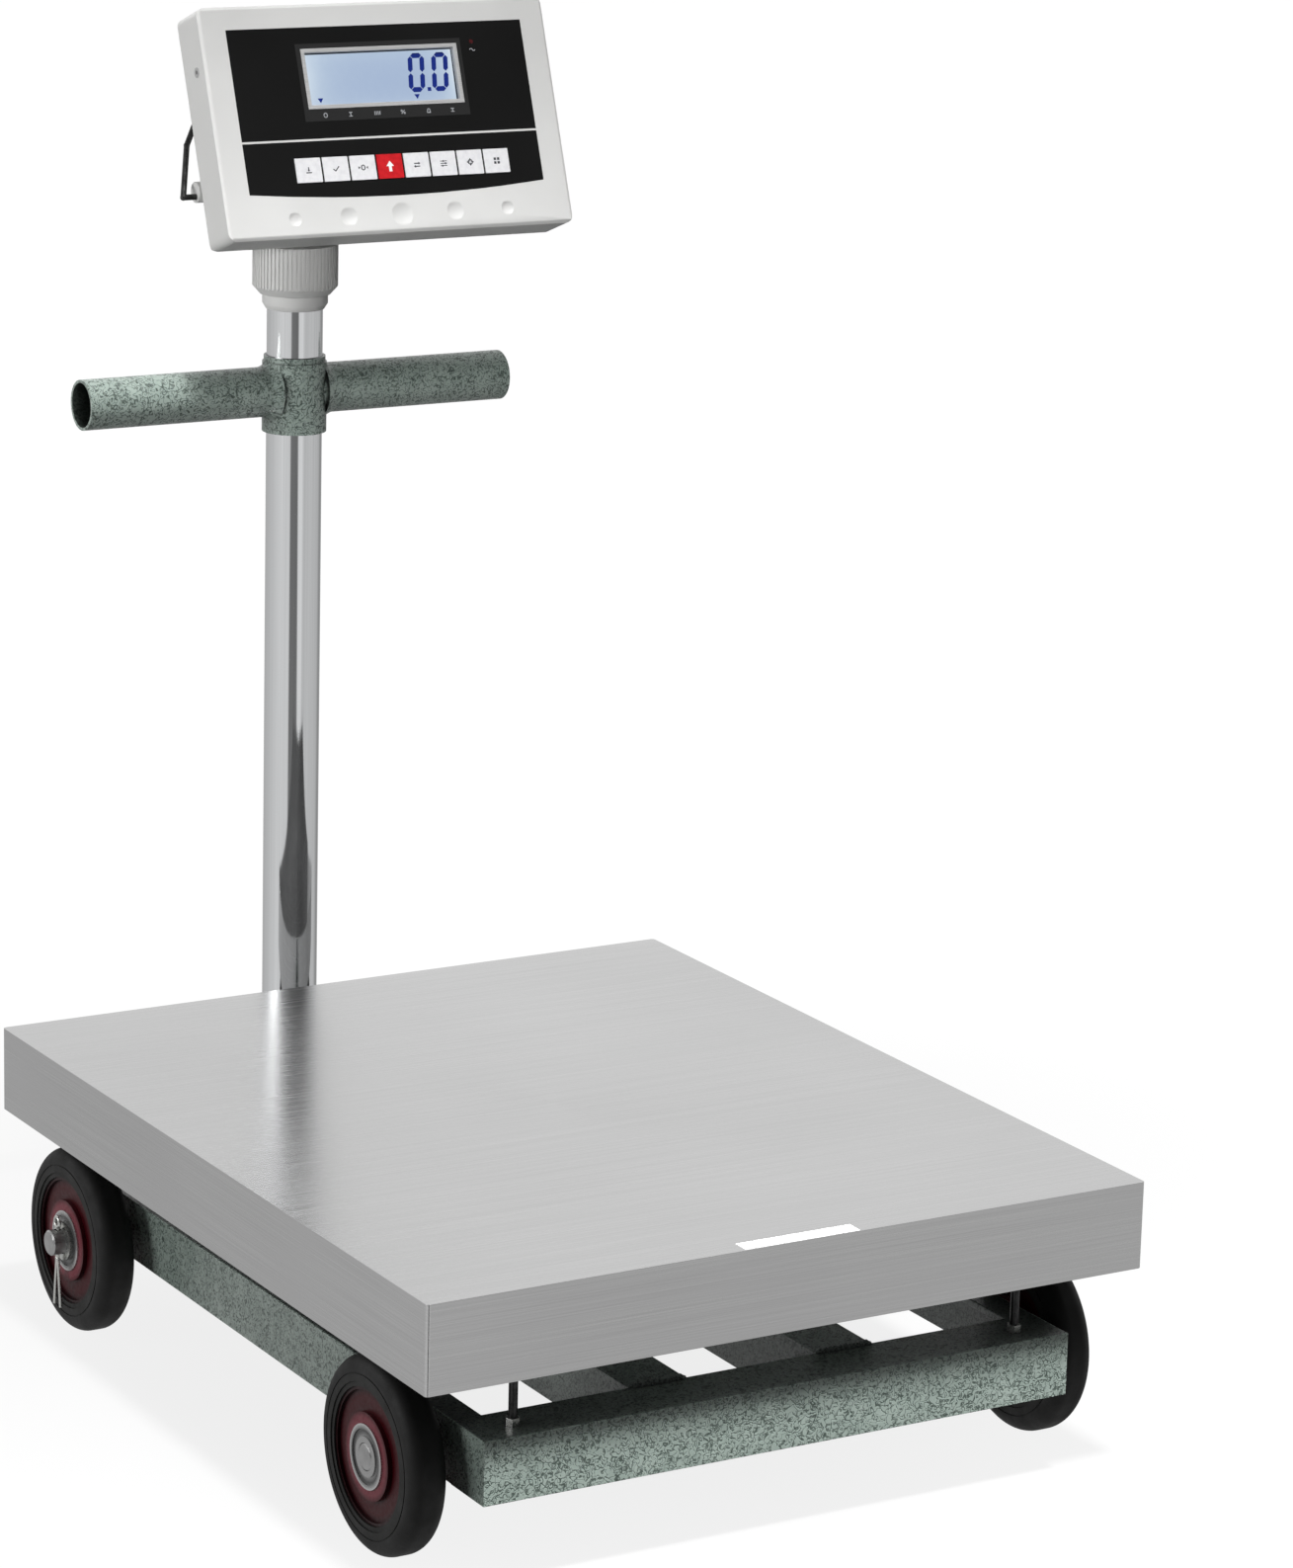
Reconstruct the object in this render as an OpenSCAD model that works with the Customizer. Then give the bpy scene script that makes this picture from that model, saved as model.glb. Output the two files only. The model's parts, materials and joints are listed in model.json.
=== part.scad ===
// Mobile platform scale: lift-off stainless platform on a four-wheeled steel frame,
// with a column, a push handle and a swivelling display head.
// Millimetres, +Z up, +Y towards the column. Z = 0 is the floor.

/* [Platform] */
// Platform width, left to right
plat_w = 500; // [460:5:560]
// Platform length, front to back
plat_d = 600; // [560:10:700]
// Depth of the folded platform skirt
pan_h = 56; // [50:1:60]
// Platform sheet thickness
sheet = 1.5; // [1:0.5:2]

/* [Frame and wheels] */
// Square rail size
rail = 40; // [36:1:44]
// Rail wall thickness
wall = 3; // [2:0.5:4]
// Wheel diameter
wheel_d = 122; // [116:1:130]
// Tyre width
tyre_w = 25; // [23:1:28]

/* [Column and handle] */
// Column tube diameter
col_d = 38; // [34:1:40]
// Handle tube length, end to end
handle_l = 316; // [240:4:420]
// Handle tube diameter
handle_d = 34; // [28:1:38]
// Handle height above the platform
handle_rise = 399; // [300:1:405]
// Collar nut diameter
nut_d = 58; // [54:1:60]
// Number of grip ribs on the collar nut
rib_count = 60; // [36:6:72]

/* [Display head] */
// Housing width
head_w = 259; // [257:2:279]
// Housing height
head_h = 157; // [154:1:165]
// Backward tilt of the face
head_tilt = 20; // [15:1:25]
// Key travel opening clearance
key_gap = 0.15; // [0.1:0.05:0.25]

/* [Hidden] */
$fn = 64;
eps = 0.1;

// Heights
wheel_r = wheel_d / 2;
axle_z = wheel_r;
frame_z = axle_z - 9;
frame_top = frame_z + rail;
pan_z = frame_top + 39;
top_z = pan_z + pan_h;

// Front-to-back positions
plat_y = -60.5;
front_y = plat_y - plat_d / 2;
rail_y = front_y + 11;
rail_back = rail_y + rail;
col_y = plat_y + plat_d / 2 + 76;
rear_y = col_y - rail / 2;
axle_fy = rail_back + 41;
axle_ry = col_y - 154;

// Frame
frame_w = plat_w - 90;
angle_t = 5;
angle_w = 20;
beam_x = 66;
beam_side = beam_x + rail / 2;
beam_l = rear_y + rail - rail_back;
cross_rail_y = axle_ry + 38;
side_l = cross_rail_y - rail_back;
flange_t = 6;

// Wheels
axle_r = 8.5;
run = 0.05;
wheel_x = frame_w / 2 + 23;
wheel_face = wheel_x + tyre_w / 2;
rim_r = 42;
hub_r = 27;
race_r = 20;
race_inner = 12.5;
shoulder = 9;
hub_half = tyre_w / 2;

// Load cell stack
plate_t = 6;
plate_l = 160;
pad_t = 4;
pad_l = 45;
cell_l = 150;
cell_w = 40;
cell_h = 36;
cell_z = frame_top + plate_t + pad_t;
cell_mid = cell_z + cell_h / 2;
cell_hole_r = 12;
cell_hole_y = 14;
slot_h = 8;
rubber_t = 3.5;
sub_z = cell_z + cell_h + pad_t;
sub_h = top_z - sheet - rubber_t - sub_z;
sub_bar_x = frame_w / 2 - 28.5;
cross_y = 55;
screw_y = front_y + 29;
rod_r = 2.8;
bolt_r = 4.1;
bolt_hole = 4.2;
bolt_head = 15;
bolt_head_h = 5;
cell_bolt_x = 12;
cell_bolt_y = 60;
label_w = 80;
label_h = 12;
label_t = 0.25;
label_gap = 0.1;

// Column
col_r = col_d / 2;
socket_top = frame_top + 58;
socket_r = col_r + 4;
pinch_z = frame_top + 40;
handle_z = top_z + handle_rise;
sleeve_r = col_r + 3;
nut_z = top_z + 465;
nut_h = 34;
tube_top = nut_z + 8;
ring_r = col_r + 3.3;
neck_r = 16;

// Display head
head_x = 47.5;
face_y = col_y - 42;
face_z = top_z + 587.5;
shell = 3;
bevel = 1.5;
front_t = 22;
rim_t = 34;
case_t = 60;
case_w = 226;
case_h = 124;
hump_t = 95.5;
hump_w = 90;
hump_h = 50;
hump_v = -33;
recess = 0.8;
film = 0.7;
panel_w = 221.4;
panel_top = 62.6;
panel_mid = -53.5;
curve_r = 1143;
line_v = -13.4;
line_h = 1.6;
bez_w = 117.4;
bez_h = 40.9;
bez_x = 0.5;
bez_v = 27.7;
lcd_w = 112;
lcd_h = 35.5;
key_w = 18.9;
key_h = 16.5;
key_pitch = 20.25;
key_x = 5.8;
key_v = -33.6;
key_flange = 0.9;
board_t = 9;
board_h = 1.6;
dimple_pitch = 40;
dimple_v = -65.9;
post_x = head_w / 2 - 9;
post_v = head_h / 2 - 8.5;
post_r = 4;
pilot_r = 1.6;
screw_r = 1.5;
screw_l = 12;
bail_t = 47;
bail_v = -38;
knee_x = case_w / 2 + 8;
knee_t = 62;
knee_v = 0;
tip_x = 92;
tip_t = 72;
tip_v = 44;
boss_r = 7;
boss_up = 3;
boss_l = 14;
foot_l = 23.3;
wire_r = 2;
bail_foot = [case_w / 2 + foot_l, bail_t, bail_v];
bail_knee = [knee_x, knee_t, knee_v];
bail_corner = [tip_x, tip_t, tip_v];
knuckle = 0.15;
jack_t = 13;
jack_v = 38;
jack_r = 3.4;
led_x = 71;
led_v = 48.9;
led_r = 1.5;

// ---------------------------------------------------------------- helpers

// Rounded rectangle, centred
module rounded(w, h, r) {
  union() {
    square([w - 2 * r, h], center = true);
    square([w, h - 2 * r], center = true);
    for (x = [-1, 1]) {
      for (y = [-1, 1]) {
        translate([x * (w / 2 - r), y * (h / 2 - r)]) circle(r);
      }
    }
  }
}

// Square tube along Y, its lower face at z, from y0
module tube_y(x, y0, l, z, w, h) {
  difference() {
    translate([x - w / 2, y0, z]) cube([w, l, h]);
    translate([x - w / 2 + wall, y0 - 1, z + wall]) cube([w - 2 * wall, l + 2, h - 2 * wall]);
  }
}

// Square tube along X, its lower face at z, from x0
module tube_x(x0, l, y0, z, w, h) {
  difference() {
    translate([x0, y0, z]) cube([l, w, h]);
    translate([x0 - 1, y0 + wall, z + wall]) cube([l + 2, w - 2 * wall, h - 2 * wall]);
  }
}

// Hexagon bolt pointing down, its head standing on z
module bolt(x, y, z, shank) {
  translate([x, y, z]) cylinder(d = bolt_head, h = bolt_head_h, $fn = 6);
  translate([x, y, z - shank]) cylinder(r = bolt_r, h = shank + eps);
}

// Clearance hole for a bolt, from z up
module bolt_bore(x, y, z, h) {
  translate([x, y, z]) cylinder(r = bolt_hole, h = h);
}

// Open-bottomed notch that the axle is welded into
module axle_notch(x0, l, y) {
  translate([x0, y, axle_z]) rotate([0, 90, 0]) cylinder(r = axle_r + run, h = l);
  translate([x0, y - axle_r - run, frame_z - 1]) cube([l, 2 * (axle_r + run), axle_z - frame_z + 1]);
}

// Rod along X between two x values
module rod_x(x0, x1, y, z, r) {
  translate([x0, y, z]) rotate([0, 90, 0]) cylinder(r = r, h = x1 - x0);
}

// Ring along X between two x values
module ring_x(x0, x1, y, z, r, bore) {
  translate([x0, y, z]) rotate([0, 90, 0]) difference() {
    cylinder(r = r, h = x1 - x0);
    translate([0, 0, -1]) cylinder(r = bore, h = x1 - x0 + 2);
  }
}

// Round bar between two points
module bar(a, b, r) {
  d = b - a;
  l = norm(d);
  translate(a) rotate([0, acos(d[2] / l), atan2(d[1], d[0])]) cylinder(r = r, h = l);
}

// Place wheel pieces; side is -1 for left, 1 for right
module at_wheel(side, y) {
  translate([side * wheel_x, y, axle_z]) rotate([0, 90, 0]) children();
}

// Move to the head: X right, Y into the housing, Z up the face
module in_head() {
  translate([head_x, face_y, face_z]) rotate([-head_tilt, 0, 0]) children();
}

// Extrude a face outline from depth t0 to depth t1
module slab(t0, t1) {
  translate([0, t1, 0]) rotate([90, 0, 0]) linear_extrude(t1 - t0) children();
}

// ---------------------------------------------------------------- frame

module front_rail() {
  color("DarkSeaGreen") difference() {
    tube_x(-frame_w / 2, frame_w, rail_y, frame_z, rail, rail);
    for (x = [-1, 1]) {
      translate([x * sub_bar_x, screw_y, frame_top - wall - 1]) cylinder(r = rod_r, h = wall + 2);
    }
  }
}

// Cross rail behind the rear wheels, butted against the mid beams, and the cross piece under the column
module rear_rail() {
  color("DarkSeaGreen") {
    for (x = [-frame_w / 2, beam_side]) {
      tube_x(x, frame_w / 2 - beam_side, cross_rail_y, frame_z, rail, rail);
    }
    for (y = [cross_rail_y, rear_y]) {
      tube_x(rail / 2 - beam_x, 2 * beam_x - rail, y, frame_z, rail, rail);
    }
  }
}

module side_rail(side) {
  x0 = frame_w / 2 - angle_t;
  difference() {
    union() {
      translate([side > 0 ? x0 : -x0 - angle_t, rail_back, frame_z]) cube([angle_t, side_l, rail]);
      translate([side > 0 ? x0 - angle_w + angle_t : -x0 - angle_t, rail_back, frame_top - angle_t])
        cube([angle_w, side_l, angle_t]);
    }
    for (y = [axle_fy, axle_ry]) {
      axle_notch(side > 0 ? x0 - 1 : -x0 - angle_t - 1, angle_t + 2, y);
    }
  }
}

module side_rail_left() {
  color("DarkSeaGreen") side_rail(-1);
}

module side_rail_right() {
  color("DarkSeaGreen") side_rail(1);
}

module mid_beam(side) {
  difference() {
    tube_y(side * beam_x, rail_back, beam_l, frame_z, rail, rail);
    for (y = [axle_fy, axle_ry]) {
      axle_notch(side * beam_x - rail / 2 - 1, rail + 2, y);
    }
    for (y = [-1, 1]) {
      bolt_bore(side * beam_x, plat_y + y * cross_y, frame_top - wall - 1, wall + 2);
    }
  }
}

module mid_beam_left() {
  color("DarkSeaGreen") mid_beam(-1);
}

module mid_beam_right() {
  color("DarkSeaGreen") mid_beam(1);
}

module rail_caps() {
  inside = rail - 2 * wall;
  color("DarkSeaGreen") for (x = [-1, 1]) {
    for (y = [rail_y, cross_rail_y]) {
      translate([x * (frame_w / 2 - wall / 2), y + rail / 2, frame_z + rail / 2])
        cube([wall, inside, inside], center = true);
    }
    translate([x * beam_x, rear_y + rail - wall / 2, frame_z + rail / 2])
      cube([inside, wall, inside], center = true);
  }
}

module limit_screws() {
  color("DimGray") for (x = [-1, 1]) {
    translate([x * sub_bar_x, screw_y, frame_top - 8])
      cylinder(r = rod_r - 0.02, h = sub_z - 1 - frame_top + 8);
  }
}

module limit_nuts() {
  color("Silver") for (x = [-1, 1]) {
    translate([x * sub_bar_x, screw_y, frame_top]) difference() {
      cylinder(d = 9.2, h = 5, $fn = 6);
      translate([0, 0, -1]) cylinder(r = rod_r, h = 7);
    }
  }
}

module cell_plate() {
  color("Gray") difference() {
    union() {
      translate([-beam_side, plat_y - plate_l / 2, frame_top]) cube([2 * beam_side, plate_l, plate_t]);
      translate([-cell_w / 2, plat_y - cell_l / 2, frame_top + plate_t]) cube([cell_w, pad_l, pad_t]);
    }
    for (x = [-1, 1]) {
      for (y = [-1, 1]) {
        bolt_bore(x * beam_x, plat_y + y * cross_y, frame_top - 1, plate_t + 2);
      }
      bolt_bore(x * cell_bolt_x, plat_y - cell_bolt_y, frame_top - 1, plate_t + pad_t + 2);
    }
  }
}

module load_cell() {
  color("Silver") difference() {
    translate([-cell_w / 2, plat_y - cell_l / 2, cell_z]) cube([cell_w, cell_l, cell_h]);
    for (y = [-1, 1]) {
      translate([0, plat_y + y * cell_hole_y, cell_mid]) rotate([0, 90, 0])
        cylinder(r = cell_hole_r, h = cell_w + 2, center = true);
    }
    translate([0, plat_y, cell_mid]) cube([cell_w + 2, 2 * cell_hole_y, slot_h], center = true);
    for (x = [-1, 1]) {
      bolt_bore(x * cell_bolt_x, plat_y - cell_bolt_y, cell_z - 1, 21);
      bolt_bore(x * cell_bolt_x, plat_y + cell_bolt_y, cell_z + cell_h - 20, 21);
    }
  }
}

module cell_bolts() {
  color("DimGray") for (x = [-1, 1]) {
    translate([0, 0, 2 * frame_top]) mirror([0, 0, 1])
      bolt(x * cell_bolt_x, plat_y - cell_bolt_y, frame_top, 28);
    bolt(x * cell_bolt_x, plat_y + cell_bolt_y, sub_z + wall, 23);
    for (y = [-1, 1]) {
      bolt(x * beam_x, plat_y + y * cross_y, frame_top + plate_t, plate_t + 10);
    }
  }
}

// ---------------------------------------------------------------- weighing platform

module subframe_bars() {
  color("DarkSeaGreen") for (x = [-1, 1]) {
    tube_y(x * sub_bar_x, front_y + 15, plat_d - 30, sub_z, rail, sub_h);
  }
}

module subframe_crosses() {
  color("DarkSeaGreen") difference() {
    union() {
      for (y = [-1, 1]) {
        tube_x(rail / 2 - sub_bar_x, 2 * sub_bar_x - rail, plat_y + y * cross_y - rail / 2, sub_z,
          rail, sub_h);
      }
      translate([-cell_w / 2, plat_y + cross_y - rail / 2, sub_z - pad_t]) cube([cell_w, rail, pad_t]);
    }
    for (x = [-1, 1]) {
      bolt_bore(x * cell_bolt_x, plat_y + cell_bolt_y, sub_z - pad_t - 1, wall + pad_t + 2);
    }
  }
}

module rubber_pads() {
  color("Black") for (x = [-1, 1]) {
    for (y = [-1, 0, 1]) {
      translate([x * sub_bar_x, plat_y + y * (plat_d / 2 - 40), sub_z + sub_h])
        cylinder(r = 15, h = rubber_t);
    }
  }
}

// Outline of the blank label near the front edge of the pan, grown by g
module label_outline(g) {
  translate([3, front_y + 7.5]) rounded(label_w + 2 * g, label_h + 2 * g, 0.5);
}

module platform_pan() {
  color("LightGray") difference() {
    translate([0, plat_y, pan_z]) linear_extrude(pan_h) rounded(plat_w, plat_d, 2.5);
    translate([0, plat_y, pan_z - 1]) linear_extrude(pan_h - sheet + 1)
      rounded(plat_w - 2 * sheet, plat_d - 2 * sheet, 1);
    translate([0, 0, top_z - label_t - 0.05]) linear_extrude(1) label_outline(label_gap);
  }
}

// Set into a shallow stamping, just under the surface
module blank_label() {
  color("White") translate([0, 0, top_z - label_t - 0.05]) linear_extrude(label_t) label_outline(0);
}

// ---------------------------------------------------------------- axles and wheels

module axle_bar(y, half) {
  difference() {
    union() {
      rod_x(-half + 1, half - 1, y, axle_z, axle_r);
      translate([-half, y, axle_z]) rotate([0, 90, 0]) cylinder(r1 = axle_r - 1, r2 = axle_r, h = 1);
      translate([half - 1, y, axle_z]) rotate([0, 90, 0]) cylinder(r1 = axle_r, r2 = axle_r - 1, h = 1);
    }
    children();
  }
}

module axle_front() {
  color("Gray") axle_bar(axle_fy, wheel_face + 0.5);
}

module axle_rear() {
  color("Gray") axle_bar(axle_ry, wheel_face + 11.5) {
    for (x = [-1, 1]) {
      translate([x * (wheel_face + 5.2), axle_ry, axle_z]) cylinder(r = 2.4, h = 30, center = true);
    }
  }
}

module axle_spacers() {
  color("Gray") for (y = [axle_fy, axle_ry]) {
    for (x = [-1, 1]) {
      x0 = frame_w / 2 + 0.05;
      x1 = wheel_x - hub_half - 0.2;
      ring_x(x > 0 ? x0 : -x1, x > 0 ? x1 : -x0, y, axle_z, 12, axle_r + run);
    }
  }
}

module axle_washers() {
  color("Silver") for (x = [-1, 1]) {
    x0 = wheel_face + 0.3;
    ring_x(x > 0 ? x0 : -x0 - 2, x > 0 ? x0 + 2 : -x0, axle_ry, axle_z, 13, axle_r + run);
  }
}

module split_pin(x) {
  leg = 0.9;
  r = 1.1;
  $fn = 24;
  translate([x, axle_ry, axle_z + axle_r + 5.2]) rotate([0, 90, 0])
    rotate_extrude() translate([3.4, 0]) circle(r + knuckle);
  for (s = [-1, 1]) {
    bar([x, axle_ry + s * leg, axle_z - axle_r - 3], [x, axle_ry + s * leg, axle_z + axle_r + 2.2], r);
    translate([x, axle_ry + s * leg, axle_z - axle_r - 3]) sphere(r + knuckle);
    bar([x, axle_ry + s * leg, axle_z - axle_r - 3], [x, axle_ry + s * (leg + 4), axle_z - 44], r);
  }
}

module split_pins() {
  color("Silver") for (x = [-1, 1]) {
    split_pin(x * (wheel_face + 5.2));
  }
}

module tyre(side, y) {
  half = tyre_w / 2;
  at_wheel(side, y) rotate_extrude() difference() {
    union() {
      translate([rim_r, -half]) square([wheel_r - shoulder - rim_r, tyre_w]);
      translate([rim_r, -half + shoulder]) square([wheel_r - rim_r, tyre_w - 2 * shoulder]);
      for (s = [-1, 1]) {
        translate([wheel_r - shoulder, s * (half - shoulder)]) circle(shoulder);
      }
    }
    for (s = [-1, 1]) {
      translate([50, s * half]) square([0.9, 1], center = true);
      translate([rim_r + 1.5, s * half]) square([3.2, 1.6], center = true);
    }
  }
}

module rim(side, y) {
  at_wheel(side, y) rotate_extrude() union() {
    translate([rim_r - 2, -hub_half + 2]) square([2, 2 * hub_half - 4]);
    translate([hub_r - 1, -hub_half + 4]) square([rim_r - hub_r, 2 * hub_half - 8]);
    translate([race_r + run, -hub_half + 1]) square([hub_r - race_r - run, 2 * hub_half - 2]);
  }
}

module bearing(side, y) {
  for (s = [0, 1]) {
    at_wheel(side, y) mirror([0, 0, s]) rotate_extrude() union() {
      translate([17, hub_half - 12]) square([race_r - 17, 12]);
      translate([race_inner - 0.5, hub_half - 12]) square([5, 11.2]);
      translate([axle_r + run, hub_half - 12]) square([race_inner - axle_r - run, 12]);
    }
  }
}

module tyre_fl() {
  color("Black") tyre(-1, axle_fy);
}

module tyre_fr() {
  color("Black") tyre(1, axle_fy);
}

module tyre_rl() {
  color("Black") tyre(-1, axle_ry);
}

module tyre_rr() {
  color("Black") tyre(1, axle_ry);
}

module rim_fl() {
  color("Maroon") rim(-1, axle_fy);
}

module rim_fr() {
  color("Maroon") rim(1, axle_fy);
}

module rim_rl() {
  color("Maroon") rim(-1, axle_ry);
}

module rim_rr() {
  color("Maroon") rim(1, axle_ry);
}

module bearing_fl() {
  color("Silver") bearing(-1, axle_fy);
}

module bearing_fr() {
  color("Silver") bearing(1, axle_fy);
}

module bearing_rl() {
  color("Silver") bearing(-1, axle_ry);
}

module bearing_rr() {
  color("Silver") bearing(1, axle_ry);
}

// ---------------------------------------------------------------- column

module column_socket() {
  color("DarkSeaGreen") difference() {
    union() {
      translate([-beam_side, rear_y, frame_top]) cube([2 * beam_side, rail, flange_t]);
      translate([0, col_y, frame_top]) cylinder(r = socket_r, h = socket_top - frame_top);
    }
    translate([0, col_y, frame_top + flange_t]) cylinder(r = col_r + run, h = 100);
    translate([0, col_y, frame_top - 1]) cylinder(r = 9, h = 10);
    translate([0, col_y, pinch_z]) rotate([90, 0, 0]) cylinder(r = bolt_r, h = 80, center = true);
  }
}

module socket_bolt() {
  color("Silver") translate([0, col_y, pinch_z]) rotate([-90, 0, 0]) {
    translate([0, 0, -socket_r - bolt_head_h]) cylinder(d = bolt_head, h = bolt_head_h, $fn = 6);
    translate([0, 0, -socket_r - eps]) cylinder(r = bolt_r - 0.1, h = 2 * socket_r + eps);
    translate([0, 0, socket_r]) cylinder(d = bolt_head, h = bolt_head_h + 1, $fn = 6);
  }
}

module column_tube() {
  color("Silver") difference() {
    translate([0, col_y, frame_top + flange_t]) cylinder(r = col_r, h = tube_top - frame_top - flange_t);
    translate([0, col_y, frame_top]) cylinder(r = col_r - 1.5, h = tube_top);
    translate([0, col_y, pinch_z]) rotate([90, 0, 0]) cylinder(r = bolt_r, h = 80, center = true);
  }
}

module handle() {
  grip_r = handle_d / 2;
  half = handle_l / 2;
  color("DarkSeaGreen") difference() {
    union() {
      rod_x(-half, half, col_y, handle_z, grip_r);
      translate([0, col_y, handle_z - 28]) cylinder(r = sleeve_r, h = 48);
      translate([0, col_y, handle_z + 20 - eps]) cylinder(r = sleeve_r - 1, h = 4 + eps);
      for (s = [0, 1]) {
        mirror([s, 0, 0]) translate([sleeve_r - 5, col_y, handle_z]) rotate([0, 90, 0]) {
          cylinder(r1 = grip_r + 3.5, r2 = grip_r - 0.3, h = 9);
        }
      }
    }
    translate([0, col_y, handle_z - 60]) cylinder(r = col_r + 0.1, h = 120);
    rod_x(-half - 1, -sleeve_r, col_y, handle_z, grip_r - 2);
    rod_x(sleeve_r, half + 1, col_y, handle_z, grip_r - 2);
  }
}

module collar_ring() {
  color("Gainsboro") difference() {
    union() {
      translate([0, col_y, nut_z - 10]) cylinder(r1 = col_r + 0.8, r2 = ring_r, h = 4);
      translate([0, col_y, nut_z - 6]) cylinder(r = ring_r, h = 18);
    }
    translate([0, col_y, nut_z - 11]) cylinder(r = col_r + run, h = tube_top - nut_z + 11.2);
    translate([0, col_y, nut_z]) cylinder(r = 8, h = 20);
  }
}

module collar_nut() {
  color("Gainsboro") difference() {
    intersection() {
      translate([0, col_y, nut_z + 0.3]) linear_extrude(nut_h - 0.3) difference() {
        circle(nut_d / 2);
        for (i = [0 : rib_count - 1]) {
          rotate(i * 360 / rib_count) translate([nut_d / 2, 0]) square([1.6, 1.2], center = true);
        }
      }
      translate([0, col_y, nut_z]) union() {
        cylinder(r1 = ring_r + 1.5, r2 = nut_d / 2 + 0.1, h = 6);
        translate([0, 0, 6]) cylinder(r = nut_d / 2 + 0.1, h = nut_h);
      }
    }
    translate([0, col_y, nut_z - 1]) cylinder(r = ring_r + 0.3, h = 6);
    translate([0, col_y, nut_z + 4]) cylinder(r = 24.6, h = nut_h - 8);
    translate([0, col_y, nut_z]) cylinder(r = neck_r + 0.3, h = nut_h + 2);
  }
}

// ---------------------------------------------------------------- display head

module head_neck() {
  color("Gainsboro") difference() {
    union() {
      translate([0, col_y, nut_z + 12.3]) cylinder(r = 24.3, h = 5);
      translate([0, col_y, nut_z + 17]) cylinder(r = neck_r, h = 43);
    }
    translate([0, col_y, nut_z]) cylinder(r = 8, h = 80);
  }
}

// Bevelled outer form of the housing's rim between two depths
module case_form(t0, t1, chamfer_front, chamfer_back) {
  x = head_w / 2;
  v = head_h / 2;
  f = chamfer_front;
  b = chamfer_back;
  intersection() {
    slab(t0, t1) rounded(head_w, head_h, 6);
    rotate([90, 0, 90]) translate([0, 0, -x - 1]) linear_extrude(head_w + 2)
      polygon([[t0, -v + 1.6 * f], [t0, v - 1.6 * f], [t0 + f, v], [t1 - b, v],
        [t1, v - b], [t1, -v + b], [t1 - b, -v], [t0 + f, -v]]);
    translate([0, 0, -v - 1]) linear_extrude(head_h + 2)
      polygon([[-x + 1.6 * f, t0], [x - 1.6 * f, t0], [x, t0 + f], [x, t1 - b],
        [x - b, t1], [-x + b, t1], [-x, t1 - b], [-x, t0 + f]]);
  }
}

// Outline of the upper dark panel, grown by g
module top_outline(g) {
  low = line_v + line_h / 2 - g;
  translate([-panel_w / 2 - g, low]) square([panel_w + 2 * g, panel_top + g - low]);
}

// Outline of the lower dark panel with its bowed lower edge, grown by g
module bottom_outline(g) {
  intersection() {
    translate([-panel_w / 2 - g, -60]) square([panel_w + 2 * g, line_v - line_h / 2 + g + 60]);
    translate([0, panel_mid + curve_r]) circle(curve_r + g, $fn = 720);
  }
}

// Openings for the keys, grown by g
module key_openings(g) {
  for (i = [0 : 7]) {
    translate([key_x + (i - 3.5) * key_pitch, key_v]) square([key_w + 2 * g, key_h + 2 * g], center = true);
  }
}

// Shallow round dimple in the face
module dimple(x, r) {
  depth = 1.5;
  ball = (r * r + depth * depth) / (2 * depth);
  translate([x, depth - ball, dimple_v]) sphere(ball);
}

// Upright pin or bore at each corner of the housing, from depth t
module corner_posts(t, h, r) {
  for (x = [-1, 1]) {
    for (v = [-1, 1]) {
      translate([x * post_x, t, v * post_v]) rotate([-90, 0, 0]) cylinder(r = r, h = h);
    }
  }
}

module head_front() {
  color("Gainsboro") in_head() difference() {
    union() {
      difference() {
        case_form(0, front_t, bevel, 0);
        slab(shell + recess, front_t + 1) rounded(head_w - 2 * shell, head_h - 2 * shell, 4);
      }
      corner_posts(shell, rim_t - 2 * shell - 0.2, post_r);
    }
    slab(-1, recess) top_outline(0.1);
    slab(-1, recess) bottom_outline(0.1);
    slab(-1, 6) translate([bez_x, bez_v]) square([bez_w + 0.2, bez_h + 0.2], center = true);
    slab(-1, 6) key_openings(key_gap);
    slab(-1, 6) translate([led_x, led_v]) circle(led_r + 0.1);
    corner_posts(rim_t - screw_l - 1, screw_l, pilot_r);
    rod_x(-head_w / 2 - 1, shell + 1 - head_w / 2, jack_t, jack_v, jack_r + run);
    for (i = [-2 : 2]) {
      dimple(i * dimple_pitch, 8.3 - 1.65 * abs(i));
    }
  }
}

module head_back() {
  color("Gainsboro") difference() {
    in_head() difference() {
      union() {
        case_form(front_t, rim_t, 0, 2);
        slab(rim_t - eps, case_t) rounded(case_w, case_h, 6);
        slab(case_t - eps, hump_t) translate([-head_x, hump_v]) rounded(hump_w, hump_h, 6);
        for (s = [0, 1]) {
          mirror([s, 0, 0]) translate([case_w / 2 - 1, bail_t, bail_v + boss_up]) rotate([0, 90, 0])
            cylinder(r = boss_r, h = boss_l + 1);
        }
      }
      slab(front_t - 1, rim_t - shell) rounded(head_w - 2 * shell, head_h - 2 * shell, 4);
      slab(rim_t - shell - 1, case_t - shell) rounded(case_w - 2 * shell, case_h - 2 * shell, 4);
      slab(case_t - shell - 1, hump_t - shell) translate([-head_x, hump_v])
        rounded(hump_w - 2 * shell, hump_h - 2 * shell, 4);
      for (s = [0, 1]) {
        mirror([s, 0, 0]) rod_x(case_w / 2 - 8, case_w / 2 + boss_l + 1, bail_t, bail_v, wire_r + run);
      }
      corner_posts(rim_t - shell - 2, 10, pilot_r);
    }
    translate([0, col_y, nut_z]) cylinder(r = neck_r + run, h = 60.2);
  }
}

module overlay_top() {
  color("Black") in_head() slab(recess - film, recess) difference() {
    top_outline(0);
    translate([bez_x, bez_v]) square([bez_w + 0.2, bez_h + 0.2], center = true);
    translate([led_x, led_v]) circle(led_r + 0.1);
  }
}

module overlay_bottom() {
  color("Black") in_head() slab(recess - film, recess) difference() {
    bottom_outline(0);
    key_openings(key_gap);
  }
}

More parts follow.
